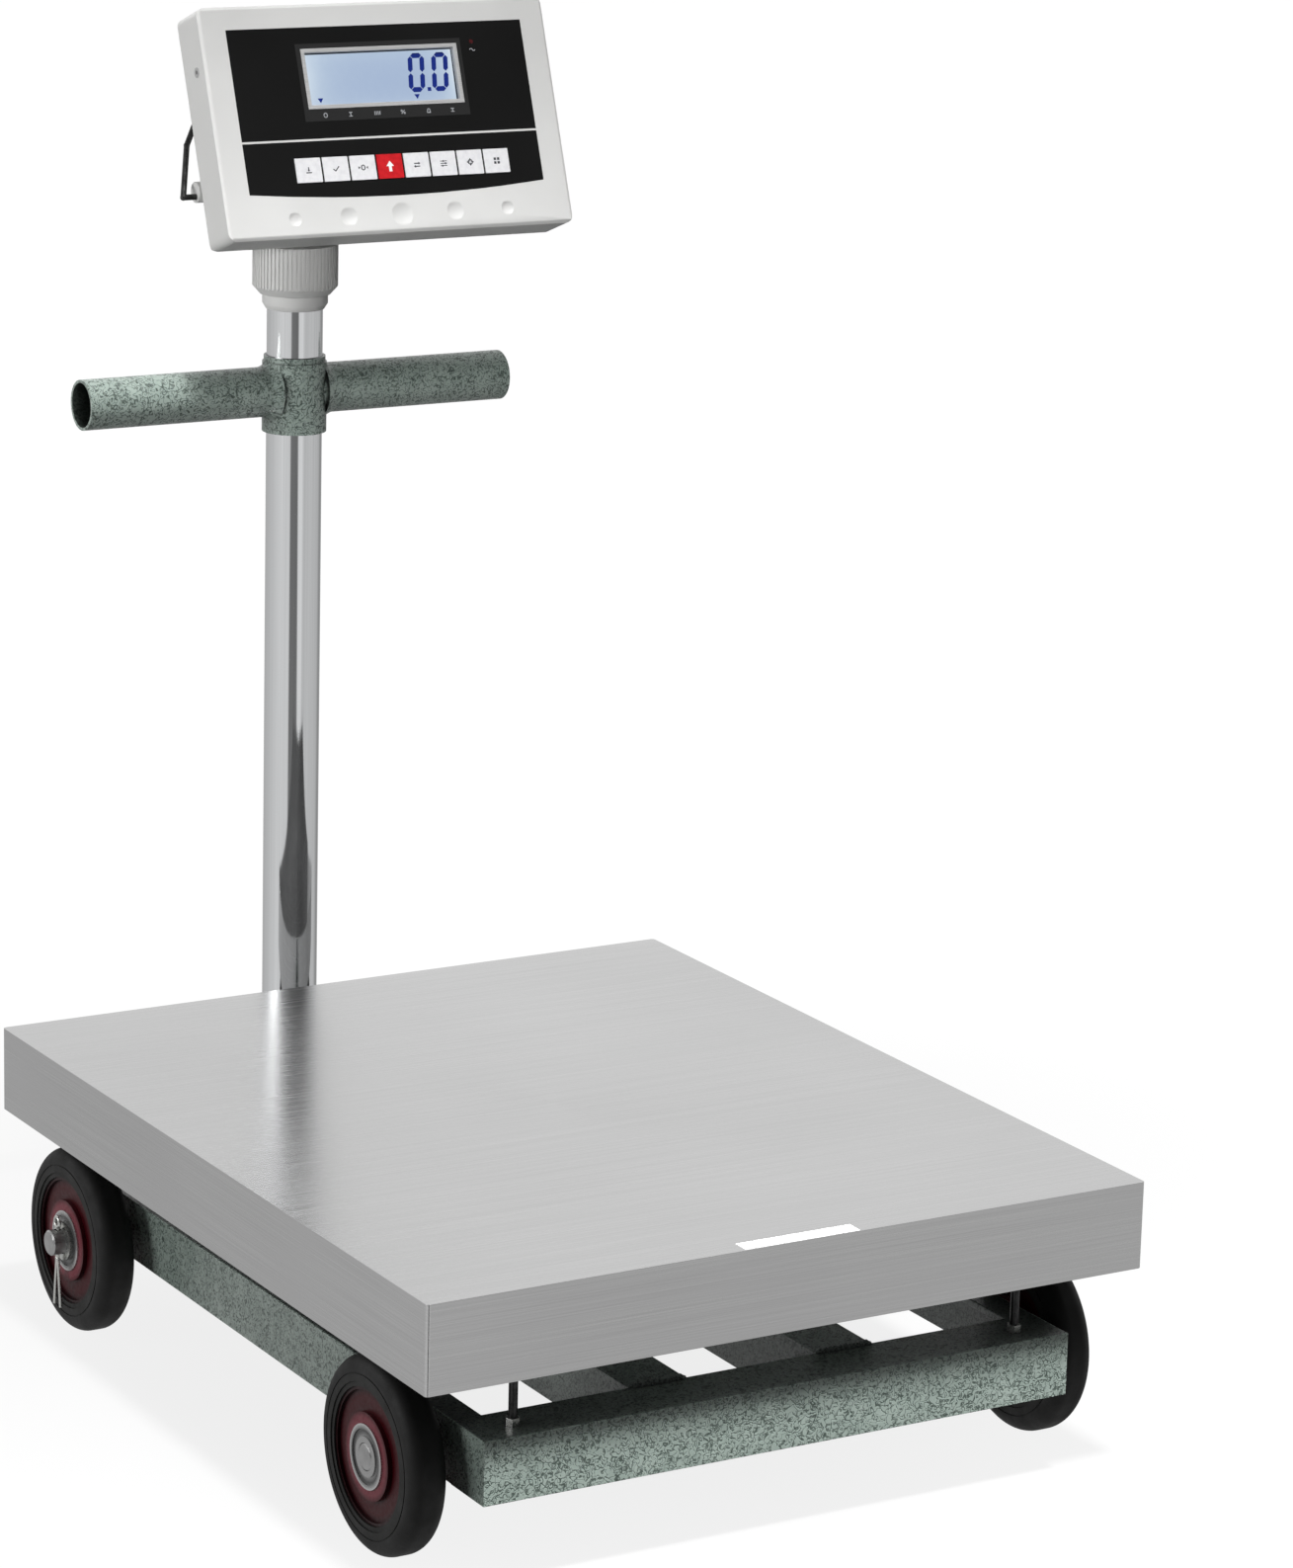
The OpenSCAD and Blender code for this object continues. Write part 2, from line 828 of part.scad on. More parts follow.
module lcd_bezel() {
  color("Silver") in_head() translate([bez_x, 0, bez_v]) slab(-0.3, 3) difference() {
    square([bez_w, bez_h], center = true);
    square([lcd_w, lcd_h], center = true);
  }
}

module lcd_panel() {
  color("LightSteelBlue") in_head() translate([bez_x, 0, bez_v])
    slab(3, 6) square([bez_w, bez_h], center = true);
}

module display_board() {
  color("ForestGreen") in_head() union() {
    slab(board_t, board_t + board_h) rounded(204, 118, 2);
    for (i = [0 : 7]) {
      translate([key_x + (i - 3.5) * key_pitch, 0, key_v]) slab(5.8, board_t + eps) square(6, center = true);
    }
    translate([bez_x, 0, bez_v]) slab(6, board_t + eps) square([100, 30], center = true);
  }
}

module power_led() {
  color("DarkRed") in_head() translate([led_x, 0.2, led_v]) rotate([-90, 0, 0])
    cylinder(r = led_r, h = board_t - 0.2);
}

module key_cap(i) {
  in_head() translate([key_x + (i - 4.5) * key_pitch, 0, key_v]) union() {
    slab(-0.4, 4.1) rounded(key_w, key_h, 0.6);
    slab(4, 5) square([key_w + key_flange, key_h + 2 * key_flange], center = true);
  }
}

module key_1() {
  color("White") key_cap(1);
}

module key_2() {
  color("White") key_cap(2);
}

module key_3() {
  color("White") key_cap(3);
}

module key_4() {
  color("Red") key_cap(4);
}

module key_5() {
  color("White") key_cap(5);
}

module key_6() {
  color("White") key_cap(6);
}

module key_7() {
  color("White") key_cap(7);
}

module key_8() {
  color("White") key_cap(8);
}

module bail() {
  for (s = [0, 1]) {
    color("DimGray") in_head() mirror([s, 0, 0]) {
      bar([case_w / 2 + 1, bail_t, bail_v], bail_foot, wire_r);
      bar(bail_foot, bail_knee, wire_r);
      bar(bail_knee, bail_corner, wire_r);
      for (p = [bail_foot, bail_knee, bail_corner]) {
        translate(p) sphere(wire_r + knuckle);
      }
    }
  }
  color("DimGray") in_head() bar([-tip_x, tip_t, tip_v], bail_corner, wire_r);
}

module housing_screws() {
  color("DimGray") in_head() {
    corner_posts(rim_t, 1.8, 2 * screw_r);
    corner_posts(rim_t - screw_l, screw_l + eps, screw_r);
  }
}

module charge_socket() {
  color("Black") in_head() difference() {
    union() {
      rod_x(-head_w / 2 - 0.3, -head_w / 2 + shell + 1, jack_t, jack_v, jack_r);
      rod_x(-head_w / 2 + shell, -head_w / 2 + 12, jack_t, jack_v, jack_r + 1);
    }
    rod_x(-head_w / 2 - 1, -head_w / 2 + 10, jack_t, jack_v, 1.4);
  }
}

// ---------------------------------------------------------------- output

front_rail();
rear_rail();
side_rail_left();
side_rail_right();
mid_beam_left();
mid_beam_right();
rail_caps();
limit_screws();
limit_nuts();
cell_plate();
load_cell();
cell_bolts();
subframe_bars();
subframe_crosses();
rubber_pads();
platform_pan();
blank_label();
axle_front();
axle_rear();
axle_spacers();
axle_washers();
split_pins();
tyre_fl();
tyre_fr();
tyre_rl();
tyre_rr();
rim_fl();
rim_fr();
rim_rl();
rim_rr();
bearing_fl();
bearing_fr();
bearing_rl();
bearing_rr();
column_socket();
socket_bolt();
column_tube();
handle();
collar_ring();
collar_nut();
head_neck();
head_front();
head_back();
overlay_top();
overlay_bottom();
lcd_bezel();
lcd_panel();
display_board();
power_led();
key_1();
key_2();
key_3();
key_4();
key_5();
key_6();
key_7();
key_8();
bail();
housing_screws();
charge_socket();
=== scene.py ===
import json
import math
import random

import bmesh
import bpy
from mathutils import Matrix, Vector


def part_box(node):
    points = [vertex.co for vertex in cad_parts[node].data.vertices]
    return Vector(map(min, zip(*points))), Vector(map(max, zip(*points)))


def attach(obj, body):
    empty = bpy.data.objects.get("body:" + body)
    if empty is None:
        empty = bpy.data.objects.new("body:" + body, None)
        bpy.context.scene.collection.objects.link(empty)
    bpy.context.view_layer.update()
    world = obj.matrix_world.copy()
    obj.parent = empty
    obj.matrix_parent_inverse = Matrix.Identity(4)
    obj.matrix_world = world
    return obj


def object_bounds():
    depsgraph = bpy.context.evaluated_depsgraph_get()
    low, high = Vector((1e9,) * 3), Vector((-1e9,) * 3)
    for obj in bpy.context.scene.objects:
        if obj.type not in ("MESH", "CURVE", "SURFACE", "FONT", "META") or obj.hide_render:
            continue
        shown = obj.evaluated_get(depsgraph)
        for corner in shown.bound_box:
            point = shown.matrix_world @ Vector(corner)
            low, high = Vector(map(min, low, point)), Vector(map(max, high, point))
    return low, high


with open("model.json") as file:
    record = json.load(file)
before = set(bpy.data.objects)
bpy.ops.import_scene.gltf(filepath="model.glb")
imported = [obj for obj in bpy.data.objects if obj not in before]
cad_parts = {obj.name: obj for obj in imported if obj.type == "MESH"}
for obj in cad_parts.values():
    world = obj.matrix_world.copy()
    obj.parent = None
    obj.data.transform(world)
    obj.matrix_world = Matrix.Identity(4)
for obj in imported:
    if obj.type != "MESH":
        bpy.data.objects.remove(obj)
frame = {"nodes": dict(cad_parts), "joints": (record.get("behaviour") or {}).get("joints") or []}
cad_low, cad_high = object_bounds()
nodes = frame["nodes"]
MM = 0.001


# ---------------------------------------------------------------- camera, light and floor

IMAGE_W = 1309
LENS_PX = 5368.0
SENSOR = 36.0
AZIMUTH = math.radians(30.6)
ELEVATION = math.radians(14.27)
ROLL = math.radians(1.454)
DISTANCE = 3.3
TARGET_OFFSET = Vector((0.029, -0.119, -0.0168))


def add_camera():
    """A long lens to the left of the front, level with the display."""
    target = (cad_low + cad_high) / 2 + TARGET_OFFSET
    forward = Vector((math.sin(AZIMUTH) * math.cos(ELEVATION),
                      math.cos(AZIMUTH) * math.cos(ELEVATION), -math.sin(ELEVATION)))
    level = Vector((math.cos(AZIMUTH), -math.sin(AZIMUTH), 0))
    upward = level.cross(forward)
    right = level * math.cos(ROLL) + upward * math.sin(ROLL)
    up = right.cross(forward)
    data = bpy.data.cameras.new("camera")
    data.sensor_fit = "HORIZONTAL"
    data.sensor_width = SENSOR
    data.lens = LENS_PX / IMAGE_W * SENSOR
    data.clip_end = 100
    camera = bpy.data.objects.new("camera", data)
    bpy.context.scene.collection.objects.link(camera)
    turn = Matrix((right, up, -forward)).transposed().to_4x4()
    camera.matrix_world = Matrix.Translation(target - forward * DISTANCE) @ turn
    bpy.context.scene.camera = camera


def add_area(name, place, aim, size, power, tint=(1, 1, 1)):
    """A soft box at place, turned towards aim."""
    data = bpy.data.lights.new(name, "AREA")
    data.shape = "RECTANGLE"
    data.size, data.size_y = size
    data.energy = power
    data.color = tint
    light = bpy.data.objects.new(name, data)
    bpy.context.scene.collection.objects.link(light)
    light.location = place
    light.rotation_euler = (Vector(aim) - Vector(place)).to_track_quat("-Z", "Y").to_euler()
    return light


def add_spot(name, place, aim, half_angle, radius, power):
    """A soft-edged spot at place, turned towards aim."""
    data = bpy.data.lights.new(name, "SPOT")
    data.spot_size = math.radians(2 * half_angle)
    data.spot_blend = 0.5
    data.shadow_soft_size = radius
    data.energy = power
    light = bpy.data.objects.new(name, data)
    bpy.context.scene.collection.objects.link(light)
    light.location = place
    light.rotation_euler = (Vector(aim) - Vector(place)).to_track_quat("-Z", "Y").to_euler()
    light.visible_glossy = False


def add_world():
    """Pale studio surroundings. What glossy surfaces see changes around the object: bright behind it,
    dim behind the camera, and a pale ground with a darker stretch towards the camera."""
    world = bpy.data.worlds.new("studio")
    bpy.context.scene.world = world
    world.use_nodes = True
    world.cycles.sampling_method = "NONE"
    tree = world.node_tree
    tree.nodes.clear()

    def node(kind, **values):
        made = tree.nodes.new("ShaderNode" + kind)
        for key, value in values.items():
            setattr(made, key, value)
        return made

    def maths(kind, a, b):
        made = node("Math", operation=kind)
        for socket, value in zip(made.inputs, (a, b)):
            if isinstance(value, (int, float)):
                socket.default_value = value
            else:
                tree.links.new(value, socket)
        return made.outputs[0]

    def ramp(value, stops):
        made = node("ValToRGB")
        fill_ramp(made, [(place, grey(tone)) for place, tone in stops])
        tree.links.new(value, made.inputs["Fac"])
        return made.outputs["Color"]

    def mix(factor, a, b):
        made = node("Mix", data_type="RGBA")
        for socket, value in ((made.inputs[0], factor), (made.inputs[6], a), (made.inputs[7], b)):
            tree.links.new(value, socket)
        return made.outputs[2]

    split = node("SeparateXYZ")
    tree.links.new(node("TexCoord").outputs["Generated"], split.inputs[0])
    across, depth, height = split.outputs
    turn = maths("ARCTAN2", across, maths("MULTIPLY", depth, -1.0))
    around = maths("FRACT", maths("DIVIDE", maths("ADD", turn, AZIMUTH + math.pi), 2 * math.pi), 0.0)
    ground = ramp(around, AROUND_GROUND)
    sky = ramp(around, AROUND_SKY)
    horizon = node("MapRange", interpolation_type="SMOOTHSTEP")
    horizon.inputs["From Min"].default_value = -0.06
    horizon.inputs["From Max"].default_value = 0.06
    tree.links.new(height, horizon.inputs["Value"])
    glossy = mix(horizon.outputs["Result"], ground, sky)
    lift = maths("MULTIPLY", maths("ADD", height, 1.0), 0.5)
    diffuse = ramp(lift, [(0.0, 0.0), (0.47, 0.0), (0.55, 0.08), (1.0, 0.16)])
    path = node("LightPath")
    seen = mix(path.outputs["Is Glossy Ray"], diffuse, glossy)
    white = node("RGB")
    white.outputs[0].default_value = grey(1.0)
    seen = mix(path.outputs["Is Camera Ray"], seen, white.outputs[0])
    back = node("Background")
    tree.links.new(seen, back.inputs["Color"])
    tree.links.new(back.outputs[0], node("OutputWorld").inputs["Surface"])


# Brightness around the object, as (part of a full turn, tone); 0.5 is towards the camera, more is to its right
AROUND_GROUND = [(0.0, 0.42), (0.17, 0.56), (0.36, 0.74), (0.47, 0.72), (0.478, 0.2), (0.55, 0.17), (0.562, 0.8),
                 (0.61, 0.8), (0.63, 0.58), (0.70, 0.62), (0.84, 0.55), (0.9, 0.3), (1.0, 0.42)]
AROUND_SKY = [(0.0, 0.95), (0.2, 0.8), (0.34, 0.1), (0.42, 0.14), (0.57, 0.14), (0.64, 0.07), (0.72, 0.1),
              (0.82, 0.8), (1.0, 0.95)]


def add_floor():
    """A pale floor that glows a little, like a light table, and takes soft shadows; its glow is painted dimmer near the
    middle as a painted shadow under the object.
    """
    bm = bmesh.new()
    bmesh.ops.create_grid(bm, x_segments=4, y_segments=4, size=40)
    mesh = bpy.data.meshes.new("floor")
    bm.to_mesh(mesh)
    bm.free()
    floor = bpy.data.objects.new("floor", mesh)
    bpy.context.scene.collection.objects.link(floor)
    floor.location.z = cad_low.z - 0.0002
    look = Look("floor_pale", grey(0.035), 0.9)
    look.set("Specular IOR Level", 0.0)
    parts = look.split()
    square = look.maths("ADD", look.maths("MULTIPLY", parts["X"], parts["X"]),
                        look.maths("MULTIPLY", parts["Y"], parts["Y"]))
    away = look.maths("SQRT", square)
    # Painted shadow: the glow is dimmer close under the object and rises to full white one metre out.
    look.link(look.ramp(look.maths("DIVIDE", away, 2.0), [(0.05, grey(0.84)), (0.5, grey(1.0)), (1.0, grey(1.0))],
                        smooth=True), "Emission Color")
    look.set("Emission Strength", 1.0)
    mesh.materials.append(look.material)
    floor.visible_diffuse = False
    floor.visible_glossy = False


# ---------------------------------------------------------------- material helpers

def grey(value):
    return (value, value, value, 1)


def srgb(r, g, b):
    """A linear colour from 0-255 display values."""
    return tuple(((c / 255 + 0.055) / 1.055) ** 2.4 if c > 10 else c / 255 / 12.92 for c in (r, g, b)) + (1,)


def fill_ramp(ramp, stops):
    elements = ramp.color_ramp.elements
    while len(elements) < len(stops):
        elements.new(0.5)
    for element, (place, colour) in zip(elements, stops):
        element.position = place
        element.color = colour


class Look:
    """One Principled material under construction, with object coordinates in metres."""

    def __init__(self, name, colour=(0.5, 0.5, 0.5, 1), rough=0.5, metal=0.0, **more):
        self.material = bpy.data.materials.new(name)
        self.material.use_nodes = True
        self.tree = self.material.node_tree
        self.shader = self.tree.nodes["Principled BSDF"]
        self.set("Base Color", colour)
        self.set("Roughness", rough)
        self.set("Metallic", metal)
        for key, value in more.items():
            self.set(key.replace("_", " "), value)
        self.place = self.tree.nodes.new("ShaderNodeTexCoord").outputs["Object"]
        self.material.diffuse_color = colour

    def set(self, socket, value):
        self.shader.inputs[socket].default_value = value

    def link(self, output, socket):
        self.tree.links.new(output, self.shader.inputs[socket])

    def node(self, kind, **values):
        made = self.tree.nodes.new("ShaderNode" + kind)
        for key, value in values.items():
            setattr(made, key, value)
        return made

    def mapped(self, scale, source=None):
        made = self.node("Mapping")
        made.inputs["Scale"].default_value = scale
        self.tree.links.new(source or self.place, made.inputs["Vector"])
        return made.outputs["Vector"]

    def noise(self, scale, detail=2.0, rough=0.5, distortion=0.0, stretch=None, source=None):
        made = self.node("TexNoise")
        made.inputs["Scale"].default_value = scale
        made.inputs["Detail"].default_value = detail
        made.inputs["Roughness"].default_value = rough
        made.inputs["Distortion"].default_value = distortion
        vector = self.mapped(stretch, source) if stretch else (source or self.place)
        self.tree.links.new(vector, made.inputs["Vector"])
        return made.outputs["Fac"]

    def ramp(self, value, stops, smooth=False):
        made = self.node("ValToRGB")
        if smooth:
            made.color_ramp.interpolation = "EASE"
        fill_ramp(made, stops)
        self.tree.links.new(value, made.inputs["Fac"])
        return made.outputs["Color"]

    def span(self, value, low, high, to_low, to_high):
        made = self.node("MapRange")
        for key, number in (("From Min", low), ("From Max", high), ("To Min", to_low), ("To Max", to_high)):
            made.inputs[key].default_value = number
        self.tree.links.new(value, made.inputs["Value"])
        return made.outputs["Result"]

    def maths(self, kind, a, b=None):
        made = self.node("Math", operation=kind)
        for index, value in enumerate((a, b)):
            if value is None:
                continue
            if isinstance(value, (int, float)):
                made.inputs[index].default_value = value
            else:
                self.tree.links.new(value, made.inputs[index])
        return made.outputs[0]

    def mix(self, factor, a, b, blend="MIX"):
        made = self.node("Mix", data_type="RGBA", blend_type=blend)
        for socket, value in ((made.inputs[0], factor), (made.inputs[6], a), (made.inputs[7], b)):
            if isinstance(value, (int, float, tuple)):
                socket.default_value = value
            else:
                self.tree.links.new(value, socket)
        return made.outputs[2]

    def split(self, vector=None):
        made = self.node("SeparateXYZ")
        self.tree.links.new(vector or self.place, made.inputs[0])
        return made.outputs

    def bump(self, height, distance, strength=1.0, after=None):
        made = self.node("Bump")
        made.inputs["Strength"].default_value = strength
        made.inputs["Distance"].default_value = distance
        self.tree.links.new(height, made.inputs["Height"])
        if after:
            self.tree.links.new(after, made.inputs["Normal"])
        self.link(made.outputs["Normal"], "Normal")
        return made.outputs["Normal"]

    def axle_radius(self, y, z):
        """Distance from an axle line that runs along X."""
        parts = self.split()
        dy = self.maths("SUBTRACT", parts["Y"], y)
        dz = self.maths("SUBTRACT", parts["Z"], z)
        total = self.maths("ADD", self.maths("MULTIPLY", dy, dy), self.maths("MULTIPLY", dz, dz))
        return self.maths("SQRT", total)


# ---------------------------------------------------------------- materials, one per record slot

def hammertone():
    """Grey-green hammered paint: pale cells cut by dark wandering lines, with painted shade darkening the frame under
    the pan.
    """
    look = Look("hammertone", srgb(132, 147, 139), 0.36, 0.0, Coat_Weight=0.25, Coat_Roughness=0.18)
    worms = look.noise(300, 0.6, 0.5, 1.2)
    depth = look.maths("ABSOLUTE", look.maths("SUBTRACT", worms, 0.5))
    cells = look.span(depth, 0.015, 0.085, 0.0, 1.0)
    broad = look.noise(60, 2.0)
    pale = look.ramp(broad, [(0.35, srgb(155, 170, 162)), (0.65, srgb(169, 183, 175))])
    dark = look.ramp(broad, [(0.35, srgb(68, 80, 74)), (0.65, srgb(84, 97, 90))])
    # Painted shade: ambient occlusion darkens the paint towards near-black where the frame sits close under the pan.
    painted_shade_ao = look.node("AmbientOcclusion", samples=8)
    painted_shade_ao.inputs["Distance"].default_value = 0.1
    dust_and_painted_shade = look.ramp(painted_shade_ao.outputs["AO"], [(0.35, srgb(34, 36, 35)), (0.95, grey(1.0))])
    # The painted shade is kept to the frame behind the front rail's face, under the pan.
    low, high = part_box("front_rail")
    parts = look.split()
    within = look.maths("LESS_THAN", look.maths("ABSOLUTE", parts["X"]), high.x - 1 * MM)
    behind = look.maths("GREATER_THAN", parts["Y"], low.y + 1 * MM)
    inside = look.maths("MULTIPLY", within, behind)
    paint = look.mix(cells, dark, pale)
    look.link(look.mix(inside, paint, look.mix(1.0, paint, dust_and_painted_shade, "MULTIPLY")), "Base Color")
    look.link(look.span(cells, 0, 1, 0.5, 0.33), "Roughness")
    look.bump(cells, 0.00018, 0.55)
    return look.material


def stainless():
    """Brushed sheet: long fine streaks along the sheet, and a slow waviness."""
    look = Look("stainless", grey(0.56), 0.3, 1.0, Anisotropic=0.35)
    facing = look.node("TexCoord").outputs["Normal"]
    side = look.maths("GREATER_THAN", look.maths("ABSOLUTE", look.split(facing)["X"]), 0.6)
    along_x = look.noise(1.0, 4.0, 0.62, 0.0, (5, 1500, 1500))
    along_y = look.noise(1.0, 4.0, 0.62, 0.0, (1500, 5, 1500))
    streaks = look.mix(side, along_x, along_y)
    cloud = look.noise(4.5, 2.0)
    shade = look.mix(0.16, look.ramp(streaks, [(0.3, grey(0.49)), (0.7, grey(0.6))]),
                     look.ramp(cloud, [(0.3, grey(0.45)), (0.7, grey(0.66))]))
    look.link(shade, "Base Color")
    look.link(look.span(streaks, 0.25, 0.75, 0.18, 0.3), "Roughness")
    look.bump(streaks, 0.00002, 0.2)
    return look.material


def turned_steel(name, tone, rough, grain=900):
    """Bare steel with fine tool marks and a few darker stains."""
    look = Look(name, grey(tone), rough, 1.0)
    fine = look.noise(grain, 3.0, 0.6)
    stain = look.noise(70, 3.0, 0.6)
    look.link(look.ramp(stain, [(0.3, grey(tone * 0.72)), (0.62, grey(tone * 1.08))]), "Base Color")
    look.link(look.span(fine, 0.3, 0.7, rough * 0.8, rough * 1.35), "Roughness")
    look.bump(fine, 0.00003, 0.3)
    return look.material


def zinc_plate():
    """Bright plating with faint spangles."""
    look = Look("zinc_plate", grey(0.62), 0.26, 1.0)
    cells = look.node("TexVoronoi")
    cells.inputs["Scale"].default_value = 700
    look.tree.links.new(look.place, cells.inputs["Vector"])
    look.link(look.ramp(cells.outputs["Distance"], [(0.0, (0.66, 0.66, 0.62, 1)), (0.9, (0.5, 0.51, 0.5, 1))]),
              "Base Color")
    look.link(look.span(look.noise(400), 0.3, 0.7, 0.2, 0.34), "Roughness")
    look.bump(cells.outputs["Distance"], 0.00003, 0.3)
    return look.material


def black_steel():
    """Blackened wire and rod, with a worn sheen."""
    look = Look("black_steel", grey(0.03), 0.3, 0.7)
    wear = look.noise(160, 4.0, 0.65)
    look.link(look.ramp(wear, [(0.35, grey(0.02)), (0.7, grey(0.06)), (0.85, grey(0.16))]), "Base Color")
    look.link(look.span(look.noise(900, 2.0), 0.3, 0.7, 0.24, 0.42), "Roughness")
    look.bump(look.noise(1400, 2.0), 0.00003, 0.3)
    return look.material


def aluminium_cell():
    """Milled aluminium block."""
    look = Look("aluminium_cell", (0.7, 0.71, 0.73, 1), 0.32, 1.0, Anisotropic=0.4)
    mill = look.noise(1.0, 3.0, 0.6, 0.0, (1200, 12, 1200))
    look.link(look.ramp(mill, [(0.3, (0.6, 0.61, 0.63, 1)), (0.7, (0.76, 0.77, 0.79, 1))]), "Base Color")
    look.link(look.span(mill, 0.3, 0.7, 0.26, 0.4), "Roughness")
    look.bump(mill, 0.00002, 0.3)
    return look.material


def chrome_tube():
    """Polished tube with faint drawing lines along its length."""
    look = Look("chrome_tube", (0.74, 0.75, 0.76, 1), 0.07, 1.0)
    lines = look.noise(1.0, 3.0, 0.6, 0.0, (900, 900, 3))
    look.link(look.ramp(lines, [(0.3, (0.70, 0.71, 0.72, 1)), (0.7, (0.78, 0.79, 0.8, 1))]), "Base Color")
    look.link(look.span(look.noise(35, 3.0), 0.35, 0.7, 0.05, 0.11), "Roughness")
    look.bump(lines, 0.000004, 0.15)
    return look.material


def pad_rubber():
    """Soft pads, dusty on top."""
    look = Look("pad_rubber", grey(0.03), 0.75)
    grain = look.noise(900, 3.0)
    look.link(look.ramp(grain, [(0.3, grey(0.018)), (0.7, grey(0.05))]), "Base Color")
    look.link(look.span(grain, 0.3, 0.7, 0.65, 0.85), "Roughness")
    look.bump(grain, 0.00008, 0.5)
    return look.material


def tyre_rubber(axle):
    """Moulded rubber: a paler flat sidewall ring inside a darker shoulder and tread."""
    look = Look("tyre_rubber_" + axle.name, srgb(32, 32, 32), 0.6, 0.0, Specular_IOR_Level=0.3)
    radius = look.axle_radius(axle.y, axle.z)
    ring = look.ramp(radius, [(0.0, srgb(30, 30, 29)), (0.0495, srgb(28, 28, 27)), (0.051, srgb(15, 15, 15)),
                              (0.0585, srgb(16, 16, 16)), (0.061, srgb(22, 22, 21))])
    dust_and_painted_shade = look.noise(55, 4.0, 0.65)
    look.link(look.mix(look.span(dust_and_painted_shade, 0.45, 0.8, 0.0, 0.25), ring, srgb(38, 38, 36)), "Base Color")
    grain = look.noise(1500, 2.0)
    look.link(look.span(dust_and_painted_shade, 0.3, 0.7, 0.5, 0.72), "Roughness")
    look.bump(grain, 0.00005, 0.35)
    return look.material


def maroon_paint(axle):
    """Gloss maroon, with a painted reflection that makes the hub ring paler and pinker."""
    look = Look("maroon_paint_" + axle.name, srgb(64, 2, 10), 0.4, 0.0, Specular_IOR_Level=0.2)
    radius = look.axle_radius(axle.y, axle.z)
    # Painted reflection: the hub ring's pale pink stands in for light reflected from its gloss.
    ring = look.ramp(radius, [(0.0, srgb(132, 62, 72)), (0.0262, srgb(138, 66, 76)), (0.0272, srgb(58, 0, 8)),
                              (0.036, srgb(66, 0, 10)), (0.0395, srgb(34, 0, 5)), (0.042, srgb(18, 2, 4))])
    flake = look.noise(420, 3.0)
    look.link(look.mix(look.span(flake, 0.5, 0.8, 0.0, 0.25), ring, srgb(30, 4, 8)), "Base Color")
    look.link(look.span(flake, 0.3, 0.7, 0.34, 0.5), "Roughness")
    look.bump(look.noise(240, 2.0), 0.00003, 0.3)
    return look.material


def bearing_steel(axle):
    """Ground races on both sides of a dark seal."""
    look = Look("bearing_steel_" + axle.name, grey(0.4), 0.3, 1.0)
    radius = look.axle_radius(axle.y, axle.z)
    tone = look.ramp(radius, [(0.0, grey(0.36)), (0.0124, grey(0.4)), (0.0126, grey(0.035)),
                              (0.0169, grey(0.045)), (0.0171, grey(0.3)), (0.0195, grey(0.55))])
    fine = look.noise(1000, 2.0)
    look.link(look.mix(look.span(fine, 0.5, 0.8, 0.0, 0.2), tone, grey(0.2)), "Base Color")
    look.link(look.ramp(radius, [(0.0124, grey(1)), (0.0126, grey(0)), (0.0169, grey(0)), (0.0171, grey(1))]),
              "Metallic")
    look.link(look.span(fine, 0.3, 0.7, 0.22, 0.4), "Roughness")
    return look.material


def moulded_plastic(name, tone, rough, grain=1500, depth=0.00004, tint=1.0):
    """Injection-moulded plastic with a fine spark texture."""
    look = Look(name, (tone, tone, tone * tint, 1), rough)
    fine = look.noise(grain, 2.0)
    cloud = look.noise(16, 2.0)
    look.link(look.ramp(cloud, [(0.3, (tone * 0.96, tone * 0.96, tone * 0.96 * tint, 1)),
                                (0.7, (tone * 1.03, tone * 1.03, tone * 1.03 * tint, 1))]), "Base Color")
    look.link(look.span(fine, 0.3, 0.7, rough * 0.9, rough * 1.15), "Roughness")
    look.bump(fine, depth, 0.35)
    return look.material


def dark_film():
    """Printed black film with a soft sheen and very fine grain."""
    look = Look("dark_film", grey(0.01), 0.34, 0.0, Specular_IOR_Level=0.2)
    fine = look.noise(1800, 2.0)
    look.link(look.ramp(look.noise(9, 2.0), [(0.3, grey(0.006)), (0.7, grey(0.009))]), "Base Color")
    look.link(look.span(fine, 0.3, 0.7, 0.3, 0.4), "Roughness")
    look.bump(fine, 0.00001, 0.25)
    return look.material


def silver_trim():
    """Satin metal frame around the display window."""
    look = Look("silver_trim", grey(0.6), 0.34, 0.25)
    lines = look.noise(1.0, 3.0, 0.6, 0.0, (40, 1600, 1600))
    look.link(look.ramp(lines, [(0.3, grey(0.5)), (0.7, grey(0.62))]), "Base Color")
    look.link(look.span(lines, 0.3, 0.7, 0.28, 0.42), "Roughness")
    look.bump(lines, 0.00002, 0.2)
    return look.material


def display_glass():
    """Backlit panel: light leaks in from its edges through a pale blue field."""
    look = Look("display_glass", srgb(150, 185, 225), 0.2)
    attribute = look.node("Attribute", attribute_name="edge_glow", attribute_type="GEOMETRY")
    fibre = look.noise(240, 2.0)
    leak = look.maths("ADD", attribute.outputs["Fac"], look.span(fibre, 0.3, 0.7, -0.02, 0.02))
    colour = look.ramp(leak, [(0.0, srgb(170, 190, 221)), (0.35, srgb(186, 205, 229)), (0.75, srgb(210, 226, 242)),
                              (1.0, srgb(236, 245, 252))])
    look.link(colour, "Emission Color")
    look.set("Emission Strength", 0.86)
    look.set("Base Color", grey(0.02))
    look.bump(fibre, 0.00001, 0.1)
    return look.material


def circuit_board():
    """Green solder mask with a copper pattern showing through."""
    look = Look("circuit_board", (0.01, 0.12, 0.04, 1), 0.35)
    traces = look.node("TexBrick")
    traces.inputs["Scale"].default_value = 120
    look.tree.links.new(look.place, traces.inputs["Vector"])
    look.link(look.ramp(traces.outputs["Fac"], [(0.4, (0.008, 0.11, 0.035, 1)), (0.6, (0.05, 0.24, 0.08, 1))]),
              "Base Color")
    look.bump(look.noise(600), 0.00003, 0.3)
    return look.material


